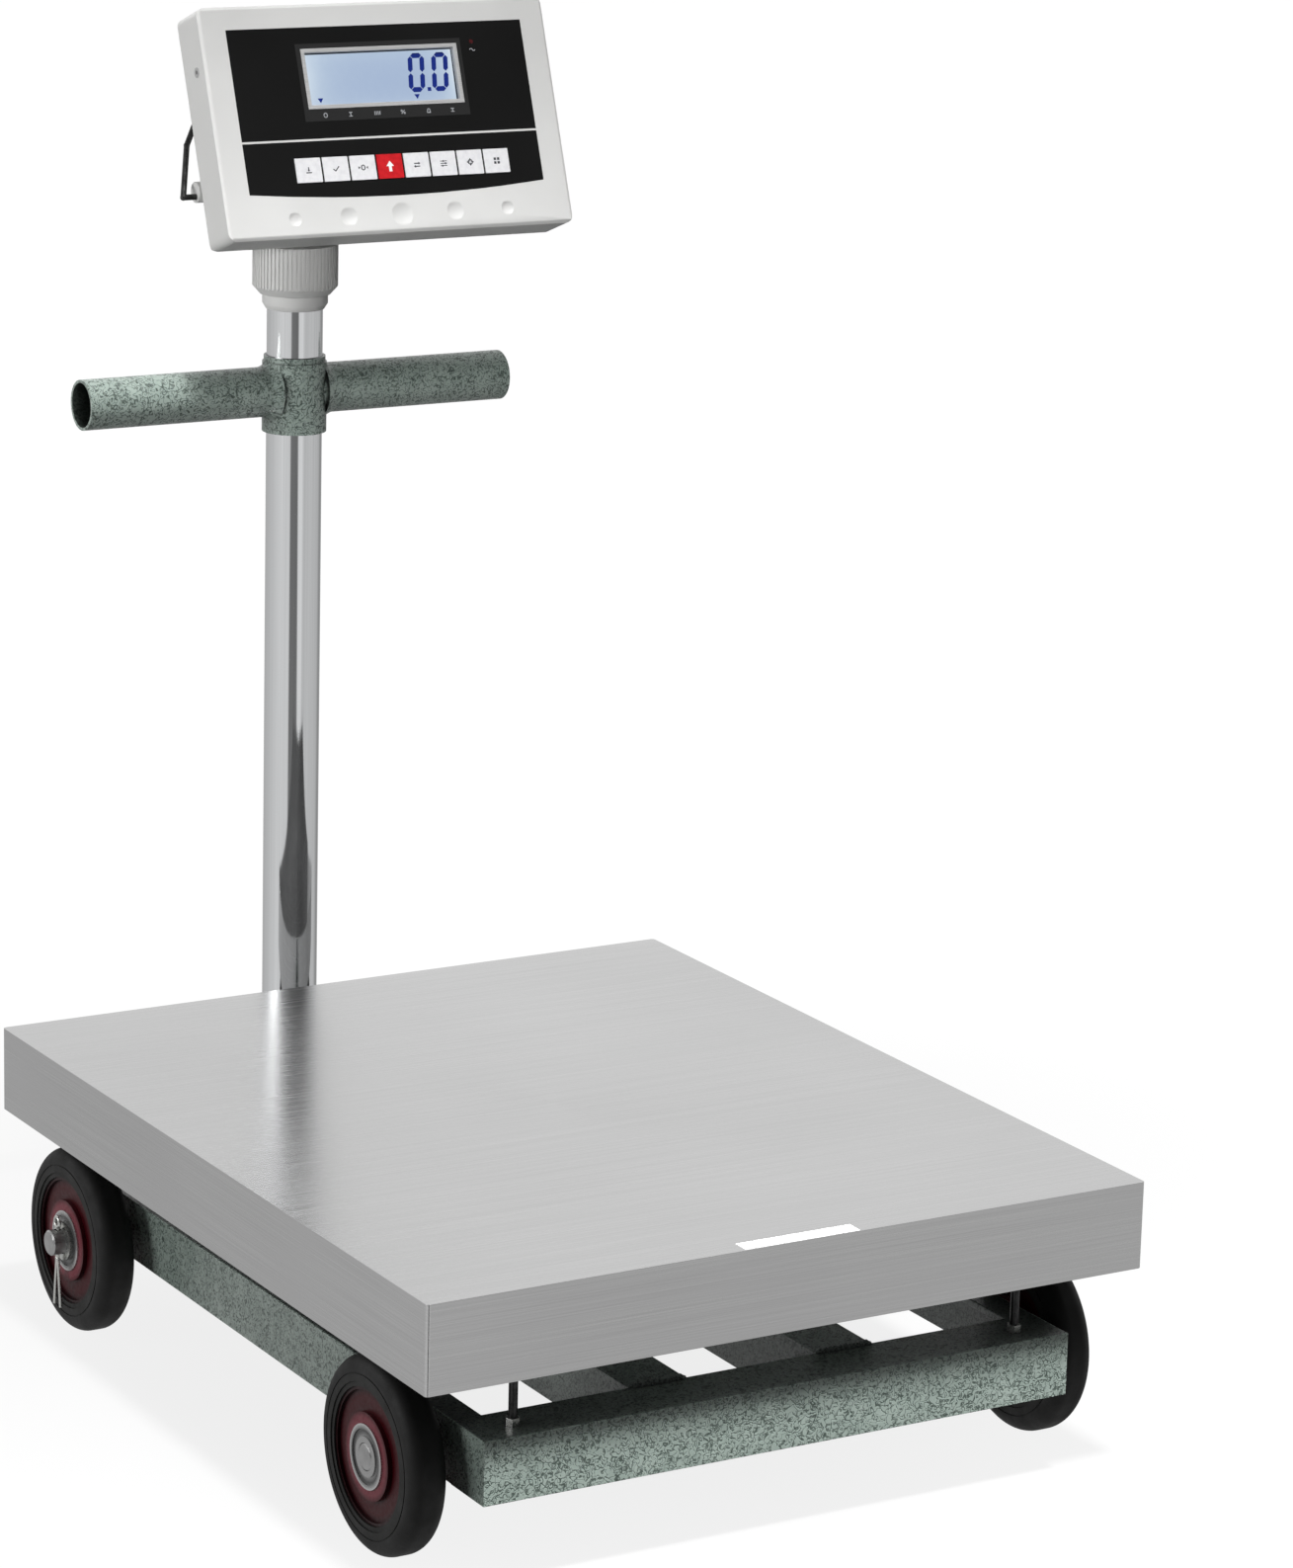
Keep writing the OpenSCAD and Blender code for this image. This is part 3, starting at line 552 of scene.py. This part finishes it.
def led_red():
    """A small clear-red lamp, unlit."""
    look = Look("led_red", srgb(62, 22, 24), 0.15, 0.0, Coat_Weight=0.5)
    core = look.noise(1500, 1.0)
    look.link(look.ramp(core, [(0.3, srgb(48, 16, 18)), (0.7, srgb(84, 30, 32))]), "Base Color")
    look.bump(core, 0.00002, 0.2)
    return look.material


def key_cap(name, colour, shadow):
    """Satin membrane key with slight mottling."""
    look = Look(name, colour, 0.42)
    cloud = look.noise(300, 3.0)
    look.link(look.ramp(cloud, [(0.25, shadow), (0.6, colour)]), "Base Color")
    look.link(look.span(look.noise(1800), 0.3, 0.7, 0.36, 0.48), "Roughness")
    look.bump(look.noise(1800), 0.00001, 0.25)
    return look.material


def label_film():
    """Blank glossy label, a little creased."""
    look = Look("label_film", grey(0.5), 0.3)
    crease = look.noise(140, 3.0)
    look.link(look.ramp(crease, [(0.3, grey(0.42)), (0.7, grey(0.54))]), "Base Color")
    look.link(look.span(crease, 0.3, 0.7, 0.22, 0.36), "Roughness")
    look.bump(crease, 0.00006, 0.3)
    return look.material


def ink(name, colour, rough=0.5):
    """Printed ink, slightly uneven."""
    look = Look(name, colour, rough)
    patch = look.noise(900, 2.0)
    thin = tuple(c * 0.82 for c in colour[:3]) + (1,)
    look.link(look.ramp(patch, [(0.3, thin), (0.6, colour)]), "Base Color")
    look.bump(patch, 0.00001, 0.2)
    return look.material


class Axle:
    """Where a pair of wheels turns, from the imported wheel."""

    def __init__(self, name, tyre):
        low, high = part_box(tyre)
        self.name = name
        self.y = (low.y + high.y) / 2
        self.z = (low.z + high.z) / 2


def node_materials():
    """Material for each CAD node, by its record slot, with wheel parts split by axle."""
    front, rear = Axle("front", "tyre_fl"), Axle("rear", "tyre_rl")
    plain = {
        "hammertone": hammertone(), "stainless": stainless(),
        "plain_steel": turned_steel("plain_steel", 0.4, 0.34), "zinc_plate": zinc_plate(),
        "black_steel": black_steel(), "aluminium_cell": aluminium_cell(), "chrome_tube": chrome_tube(),
        "pad_rubber": pad_rubber(), "grey_abs": moulded_plastic("grey_abs", 0.66, 0.42, tint=0.985),
        "dark_film": dark_film(), "silver_trim": silver_trim(), "display_glass": display_glass(),
        "circuit_board": circuit_board(), "led_red": led_red(),
        "key_white": key_cap("key_white", srgb(226, 226, 228), srgb(215, 215, 218)),
        "key_red": key_cap("key_red", srgb(200, 28, 36), srgb(178, 20, 28)),
        "black_plastic": moulded_plastic("black_plastic", 0.02, 0.45), "label_film": label_film(),
    }
    by_axle = {
        "tyre_rubber": {"f": tyre_rubber(front), "r": tyre_rubber(rear)},
        "maroon_paint": {"f": maroon_paint(front), "r": maroon_paint(rear)},
    }
    bearings = {"f": bearing_steel(front), "r": bearing_steel(rear)}
    socket_shell = moulded_plastic("socket_shell", 0.4, 0.45)
    for name, obj in nodes.items():
        slot = obj.data.materials[0].name.split(".")[0]
        if name.startswith("bearing_"):
            material = bearings[name.split("_")[1][0]]
        elif name == "charge_socket":
            material = socket_shell
        elif slot in by_axle:
            material = by_axle[slot][name.split("_")[1][0]]
        else:
            material = plain[slot]
        for index in range(len(obj.data.materials)):
            obj.data.materials[index] = material
    return plain


# ---------------------------------------------------------------- soft edges on the CAD nodes

EDGE_MM = {
    "platform_pan": 0.7, "front_rail": 1.6, "rear_rail": 1.6, "side_rail_left": 0.8, "side_rail_right": 0.8,
    "mid_beam_left": 1.6, "mid_beam_right": 1.6, "subframe_bars": 1.2, "subframe_crosses": 1.2,
    "cell_plate": 0.6, "load_cell": 0.5, "head_front": 0.9, "head_back": 0.9, "lcd_bezel": 0.25,
    "column_socket": 0.6, "handle": 0.4, "collar_ring": 0.4, "socket_bolt": 0.3, "limit_nuts": 0.35,
    "key_1": 0.3, "key_2": 0.3, "key_3": 0.3, "key_4": 0.3, "key_5": 0.3, "key_6": 0.3, "key_7": 0.3, "key_8": 0.3,
}


def soften(name, width):
    """Breaks a node's sharp edges by width millimetres."""
    obj = nodes[name]
    weld = obj.modifiers.new("weld", "WELD")
    weld.merge_threshold = 0.00001
    flat = obj.modifiers.new("flat", "DECIMATE")
    flat.decimate_type = "DISSOLVE"
    flat.angle_limit = math.radians(1)
    bevel = obj.modifiers.new("edge", "BEVEL")
    bevel.width = width * MM
    bevel.segments = 3
    bevel.limit_method = "ANGLE"
    bevel.angle_limit = math.radians(40)
    bevel.harden_normals = False
    bevel.miter_outer = "MITER_ARC"
    normals = obj.modifiers.new("normals", "WEIGHTED_NORMAL")
    normals.mode = "FACE_AREA"
    normals.weight = 80
    normals.keep_sharp = False


# ---------------------------------------------------------------- pieces

def add_piece(name, bm, body, material, smooth=False):
    """Turns a bmesh in row-frame metres into a piece that rides on a body."""
    bmesh.ops.recalc_face_normals(bm, faces=bm.faces)
    mesh = bpy.data.meshes.new(name)
    bm.to_mesh(mesh)
    bm.free()
    for polygon in mesh.polygons:
        polygon.use_smooth = smooth
    mesh.materials.append(material)
    obj = bpy.data.objects.new(name, mesh)
    bpy.context.scene.collection.objects.link(obj)
    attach(obj, body)
    return obj


class Head:
    """The display head's own axes: x to the right, t into the housing, v up the face."""

    def __init__(self):
        press = next(j for j in frame["joints"] if j["child"] == "key_1")
        self.into = Vector(press["axis"]).normalized()
        self.up = Vector((0, -self.into.z, self.into.y))

    def point(self, x, t, v):
        return Vector((x, 0, 0)) + self.into * t + self.up * v

    def box(self, node):
        """Lowest and highest (x, t, v) of a node."""
        corners = [(p.co.x, p.co.dot(self.into), p.co.dot(self.up)) for p in nodes[node].data.vertices]
        return [min(c[i] for c in corners) for i in range(3)], [max(c[i] for c in corners) for i in range(3)]

    def prism(self, bm, outline, front, back):
        """A flat plate with the given (x, v) outline between two depths."""
        near = [bm.verts.new(self.point(x, front, v)) for x, v in outline]
        far = [bm.verts.new(self.point(x, back, v)) for x, v in outline]
        bm.faces.new(near)
        bm.faces.new(far[::-1])
        for i in range(len(outline)):
            j = (i + 1) % len(outline)
            bm.faces.new((near[i], near[j], far[j], far[i]))


def circle(x, v, radius, steps=20, squash=1.0):
    return [(x + radius * math.cos(2 * math.pi * i / steps), v + squash * radius * math.sin(2 * math.pi * i / steps))
            for i in range(steps)]


def bar(x0, v0, x1, v1, half):
    """Outline of a straight stroke with square ends."""
    dx, dv = x1 - x0, v1 - v0
    length = math.hypot(dx, dv)
    nx, nv = -dv / length * half, dx / length * half
    return [(x0 - nx, v0 - nv), (x1 - nx, v1 - nv), (x1 + nx, v1 + nv), (x0 + nx, v0 + nv)]


def arrow_down(x, v, half):
    return [(x - half, v + half * 0.8), (x, v - half * 0.8), (x + half, v + half * 0.8)]


def digit_segments(x, v, width, height, half, lean):
    """Seven-segment strokes of a zero, leaning to the right."""
    gap = half * 0.2
    corners = {"tl": (0, height), "tr": (width, height), "ml": (0, height / 2), "mr": (width, height / 2),
               "bl": (0, 0), "br": (width, 0)}

    def stroke(a, b):
        (ax, av), (bx, bv) = corners[a], corners[b]
        length = math.hypot(bx - ax, bv - av)
        ux, uv = (bx - ax) / length, (bv - av) / length
        nx, nv = -uv, ux
        shape = []
        for along, across in ((gap, 0), (gap + half, half), (length - gap - half, half), (length - gap, 0),
                              (length - gap - half, -half), (gap + half, -half)):
            px = ax + ux * along + nx * across
            pv = av + uv * along + nv * across
            shape.append((x + px + pv * lean, v + pv))
        return shape

    pairs = (("tl", "tr"), ("tl", "ml"), ("tr", "mr"), ("ml", "bl"), ("mr", "br"), ("bl", "br"))
    return [stroke(a, b) for a, b in pairs]


def display_pieces(head, looks):
    """Backlight film, digits and markers in the window, and the printed frame around it."""
    (bx0, bt0, bv0), (bx1, bt1, bv1) = head.box("lcd_bezel")
    (px0, pt0, pv0), (px1, pt1, pv1) = head.box("lcd_panel")
    rim = 2.7 * MM
    x0, x1, v0, v1 = bx0 + rim, bx1 - rim, bv0 + rim, bv1 - rim
    width, height = x1 - x0, v1 - v0

    bm = bmesh.new()
    columns, rows = 60, 20
    glow = bm.verts.layers.float.new("edge_glow")
    grid = []
    for j in range(rows + 1):
        for i in range(columns + 1):
            u, w = i / columns, j / rows
            crown = 0.05 * MM * math.sin(math.pi * u) * math.sin(math.pi * w)
            vert = bm.verts.new(head.point(x0 + u * width, pt0 - 0.05 * MM - crown, v0 + w * height))
            sides = math.exp(-u * 9) * 0.85 + math.exp(-(1 - u) * 14) * 0.95
            ends = math.exp(-w * 6) * 0.35 + math.exp(-(1 - w) * 7) * 0.4
            vert[glow] = min(1.0, sides * (0.55 + 0.45 * math.sin(math.pi * w)) + ends * 0.8 + 0.12 * w)
            grid.append(vert)
    for j in range(rows):
        for i in range(columns):
            k = j * (columns + 1) + i
            bm.faces.new((grid[k], grid[k + 1], grid[k + columns + 2], grid[k + columns + 1]))
    add_piece("lcd_backlight", bm, "head", looks["display_glass"], smooth=True)

    bm = bmesh.new()
    front, back = pt0 - 0.35 * MM, pt0 - 0.15 * MM
    digit_w, digit_h, half, lean = 8.9 * MM, 23.2 * MM, 1.7 * MM, 0.11
    base = v1 - 4.2 * MM - digit_h
    for right_edge in (0.929, 0.769):
        for outline in digit_segments(x0 + right_edge * width - digit_w, base, digit_w, digit_h, half, lean):
            head.prism(bm, outline, front, back)
    dot = 1.3 * MM
    px = x0 + 0.812 * width
    head.prism(bm, [(px - dot, base - dot), (px + dot, base - dot), (px + dot, base + dot), (px - dot, base + dot)],
               front, back)
    for u in (0.075, 0.723):
        head.prism(bm, arrow_down(x0 + u * width, v0 + 3.4 * MM, 2.0 * MM), front, back)
    add_piece("lcd_digits", bm, "head", ink("lcd_ink", srgb(24, 44, 128), 0.3))

    # Painted shadow: thin dark strips along the window's right and top edges stand in for the shade between the panel
    # and the bezel.
    bm = bmesh.new()
    head.prism(bm, [(x1 - 1.5 * MM, v0), (x1 - 0.2 * MM, v0), (x1 - 0.2 * MM, v1), (x1 - 0.9 * MM, v1)], front, back)
    head.prism(bm, [(x0, v1 - 0.9 * MM), (x1 - 0.8 * MM, v1 - 0.7 * MM), (x1 - 0.8 * MM, v1), (x0, v1)], front, back)
    add_piece("lcd_edge_painted_shadow", bm, "head", ink("lcd_gap_painted_shadow", srgb(30, 38, 52), 0.4))

    face = head.box("overlay_top")[0][1]
    bm = bmesh.new()
    fx0, fx1, fv0, fv1 = bx0 - 3.5 * MM, bx1 + 3.2 * MM, bv0 - 8.2 * MM, bv1 + 3.4 * MM
    skin = 0.04 * MM
    for outline in ([(fx0, fv0), (fx1, fv0), (fx1, bv0 - 0.15 * MM), (fx0, bv0 - 0.15 * MM)],
                    [(fx0, bv1 + 0.15 * MM), (fx1, bv1 + 0.15 * MM), (fx1, fv1), (fx0, fv1)],
                    [(fx0, bv0 - 0.15 * MM), (bx0 - 0.15 * MM, bv0 - 0.15 * MM), (bx0 - 0.15 * MM, bv1 + 0.15 * MM),
                     (fx0, bv1 + 0.15 * MM)],
                    [(bx1 + 0.15 * MM, bv0 - 0.15 * MM), (fx1, bv0 - 0.15 * MM), (fx1, bv1 + 0.15 * MM),
                     (bx1 + 0.15 * MM, bv1 + 0.15 * MM)]):
        head.prism(bm, outline, face - skin, face + skin)
    add_piece("display_surround", bm, "head",
              moulded_plastic("surround_ink", 0.015, 0.42, 1200, 0.00001))

    pale = ink("pale_ink", srgb(170, 172, 176))
    bm = bmesh.new()
    row = (fv0 + bv0) / 2 - 0.3 * MM
    thin, top = 0.28 * MM, face - 0.1 * MM
    marks = [0.10, 0.26, 0.43, 0.595, 0.76, 0.915]
    for index, u in enumerate(marks):
        cx = bx0 + u * (bx1 - bx0)
        for outline in window_mark(index, cx, row, thin):
            head.prism(bm, outline, top, top + 0.08 * MM)
    add_piece("window_marks", bm, "head", pale)

    (lx0, lt0, lv0), (lx1, lt1, lv1) = head.box("power_led")
    cx, cv = (lx0 + lx1) / 2, lv0 - 4.2 * MM
    bm = bmesh.new()
    wave = [(cx + (i / 12 - 0.5) * 4.2 * MM, cv + 0.8 * MM * math.sin(2 * math.pi * i / 12)) for i in range(13)]
    for a, b in zip(wave, wave[1:]):
        head.prism(bm, bar(a[0], a[1], b[0], b[1], 0.27 * MM), top, top + 0.08 * MM)
    add_piece("supply_mark", bm, "head", pale)


def ring_strokes(x, v, radius, half, steps=16, squash=1.0):
    points = circle(x, v, radius, steps, squash)
    return [bar(*points[i], *points[(i + 1) % steps], half) for i in range(steps)]


def window_mark(index, x, v, half):
    """Small plain symbols under the window, one per indicator."""
    r = 1.25 * MM
    if index == 0:
        return ring_strokes(x, v, r, half, 14, 1.2)
    if index == 1:
        return [bar(x - r, v + r, x + r, v + r, half), bar(x, v + r, x, v - r, half),
                bar(x - r, v - r, x + r, v - r, half)]
    if index == 2:
        return [bar(x + (k - 1.5) * r, v - r, x + (k - 1.5) * r, v + r, half) for k in range(4)]
    if index == 3:
        return ([bar(x - r, v - r, x + r, v + r, half)] + ring_strokes(x - r * 0.8, v + r * 0.6, r * 0.42, half, 8)
                + ring_strokes(x + r * 0.8, v - r * 0.6, r * 0.42, half, 8))
    if index == 4:
        return [bar(x - r, v - r, x + r, v - r, half), bar(x - r, v - r, x - r * 0.5, v + r, half),
                bar(x + r, v - r, x + r * 0.5, v + r, half), bar(x - r * 0.5, v + r, x + r * 0.5, v + r, half)]
    return [bar(x - r, v - r, x + r, v - r, half), bar(x, v - r, x, v + r * 0.6, half),
            bar(x - r, v + r * 0.6, x + r, v + r * 0.6, half)]


def key_symbol(index, x, v):
    """Plain pictogram on each key: strokes as (x, v) outlines."""
    h = 0.36 * MM
    s = 2.1 * MM
    if index == 1:    # load held back: down arrow onto a line
        return [bar(x - s, v - s * 0.8, x + s, v - s * 0.8, h), bar(x, v + s, x, v, h),
                [(x - s * 0.45, v + s * 0.15), (x, v - s * 0.5), (x + s * 0.45, v + s * 0.15)]]
    if index == 2:    # confirm: tick
        return [bar(x - s, v, x - s * 0.2, v - s * 0.7, h), bar(x - s * 0.25, v - s * 0.7, x + s * 1.1, v + s * 0.8, h)]
    if index == 3:    # nought between two arrowheads
        return (ring_strokes(x, v, s * 0.62, h, 18, 1.25)
                + [[(x - s * 1.7, v + s * 0.45), (x - s, v), (x - s * 1.7, v - s * 0.45)],
                   [(x + s * 1.7, v + s * 0.45), (x + s, v), (x + s * 1.7, v - s * 0.45)]])
    if index == 5:    # change: two opposed arrows
        return [bar(x - s, v + s * 0.45, x + s * 0.6, v + s * 0.45, h),
                [(x + s * 0.5, v + s * 0.95), (x + s * 1.2, v + s * 0.45), (x + s * 0.5, v - s * 0.05)],
                bar(x + s, v - s * 0.5, x - s * 0.6, v - s * 0.5, h),
                [(x - s * 0.5, v), (x - s * 1.2, v - s * 0.5), (x - s * 0.5, v - s)]]
    if index == 6:    # set: three sliders
        strokes = []
        for k, offset in enumerate((-0.5, 0.6, -0.1)):
            row = v + (k - 1) * s * 0.75
            strokes.append(bar(x - s * 1.2, row, x + s * 1.2, row, h * 0.7))
            strokes.append(bar(x + offset * s, row - s * 0.28, x + offset * s, row + s * 0.28, h * 1.3))
        return strokes
    if index == 7:    # adjust: cross in a ring
        return ring_strokes(x, v, s * 0.75, h, 20) + [
            bar(x - s * 1.2, v, x - s * 0.3, v, h), bar(x + s * 0.3, v, x + s * 1.2, v, h),
            bar(x, v - s * 1.2, x, v - s * 0.3, h), bar(x, v + s * 0.3, x, v + s * 1.2, h)]
    return [outline for dx in (-0.62, 0.62) for dv in (-0.62, 0.62)    # list of four boxes
            for outline in [[(x + (dx - 0.42) * s, v + (dv - 0.42) * s), (x + (dx + 0.42) * s, v + (dv - 0.42) * s),
                             (x + (dx + 0.42) * s, v + (dv + 0.42) * s), (x + (dx - 0.42) * s, v + (dv + 0.42) * s)]]]


def key_pieces(head):
    dark = ink("key_ink", srgb(62, 62, 68))
    white = ink("key_ink_white", srgb(244, 244, 244))
    for index in range(1, 9):
        name = "key_%d" % index
        (x0, t0, v0), (x1, t1, v1) = head.box(name)
        x, v = (x0 + x1) / 2, (v0 + v1) / 2
        bm = bmesh.new()
        if index == 4:
            stem, wing, tall = 1.15 * MM, 2.9 * MM, 3.6 * MM
            outlines = [[(x - stem, v - tall), (x + stem, v - tall), (x + stem, v), (x + wing, v), (x, v + tall),
                         (x - wing, v), (x - stem, v)]]
        else:
            outlines = key_symbol(index, x, v)
        for outline in outlines:
            head.prism(bm, outline, t0 - 0.05 * MM, t0 + 0.02 * MM)
        add_piece(name + "_symbol", bm, name, white if index == 4 else dark)


def weld_bead(bm, start, end, radius):
    """A rippled bead along an inside corner, from start to end."""
    along = end - start
    side = along.normalized().orthogonal()
    other = along.normalized().cross(side)
    count = max(12, int(along.length / (0.9 * MM)))
    rings = []
    for i in range(count + 1):
        ripple = 1 + 0.14 * math.cos(math.pi * i / 2) + random.uniform(-0.05, 0.05)
        taper = min(1.0, 0.35 + 0.25 * min(i, count - i))
        here = start + along * (i / count)
        rings.append([bm.verts.new(here + (side * math.cos(k * math.pi / 5) + other * math.sin(k * math.pi / 5))
                                   * radius * ripple * taper) for k in range(10)])
    for near, far in zip(rings, rings[1:]):
        for k in range(10):
            bm.faces.new((near[k], near[k - 1], far[k - 1], far[k]))
    bm.faces.new(rings[0])
    bm.faces.new(rings[-1][::-1])


def frame_welds(material):
    """Beads where the frame's tubes, angles and the column's foot meet."""
    random.seed(11)
    front_low, front_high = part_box("front_rail")
    rear_low, rear_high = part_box("rear_rail")
    foot_low, foot_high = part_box("column_socket")
    top, bottom = front_high.z, front_low.z
    bead = 1.9 * MM
    bm = bmesh.new()
    for side in ("left", "right"):
        low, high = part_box("mid_beam_" + side)
        weld_bead(bm, Vector((low.x, front_high.y, top)), Vector((high.x, front_high.y, top)), bead)
        outer = low.x if side == "left" else high.x
        for y in (rear_low.y, rear_low.y + front_high.y - front_low.y):
            weld_bead(bm, Vector((outer, y, bottom)), Vector((outer, y, top)), bead)
        weld_bead(bm, Vector((outer, rear_low.y, top)),
                  Vector((outer, rear_low.y + front_high.y - front_low.y, top)), bead)
        for y in (foot_low.y, foot_high.y):
            weld_bead(bm, Vector((max(low.x, foot_low.x), y, top)), Vector((min(high.x, foot_high.x), y, top)), bead)
        low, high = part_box("side_rail_" + side)
        inner = high.x - 5 * MM if side == "right" else low.x + 5 * MM
        for y in (front_high.y, rear_low.y):
            weld_bead(bm, Vector((inner, y, bottom)), Vector((inner, y, top - 6 * MM)), bead)
    add_piece("frame_welds", bm, "base", material, smooth=True)


def screw_cross_shadows(head):
    """Dark crosses of painted shadow in the heads of the screws that close the housing, standing in for their cross
    recesses.
    """
    (x0, t0, v0), (x1, t1, v1) = head.box("housing_screws")
    radius = 3 * MM
    bm = bmesh.new()
    for x in (x0 + radius, x1 - radius):
        for v in (v0 + radius, v1 - radius):
            for dx, dv in ((1, 1), (1, -1)):
                reach = 1.15 * MM
                head.prism(bm, bar(x - dx * reach, v - dv * reach, x + dx * reach, v + dv * reach, 0.3 * MM),
                           t1 - 0.1 * MM, t1 + 0.03 * MM)
    add_piece("screw_cross_shadows", bm, "head", ink("recess_shadow", srgb(14, 14, 15), 0.6))


# ---------------------------------------------------------------- build

bpy.context.scene.view_settings.view_transform = "Standard"
add_camera()
add_world()
add_floor()
add_area("top_box", (0.05, -1.5, 5.6), (0, 0, 0.4), (1.6, 1.4), 170)
add_area("left_box", (-3.0, 0.5, 1.2), (0, 0, 0.5), (1.6, 1.4), 34)
add_spot("base_key", (0.1, -1.6, 6.0), (0, -0.5, 0), 8.5, 0.3, 5000)
add_spot("head_fill", (-2.4, -2.3, 1.3), (0.03, 0.3, 0.74), 8.5, 0.4, 214)
add_spot("head_low", (0.25, -1.5, 0.12), (0.05, 0.27, 0.76), 5.5, 0.15, 5)
add_spot("head_side", (-2.6, 0.9, 1.0), (-0.05, 0.31, 0.77), 5, 0.25, 60)

looks = node_materials()
for node_name, edge in EDGE_MM.items():
    soften(node_name, edge)
head = Head()
display_pieces(head, looks)
key_pieces(head)
frame_welds(looks["hammertone"])
screw_cross_shadows(head)
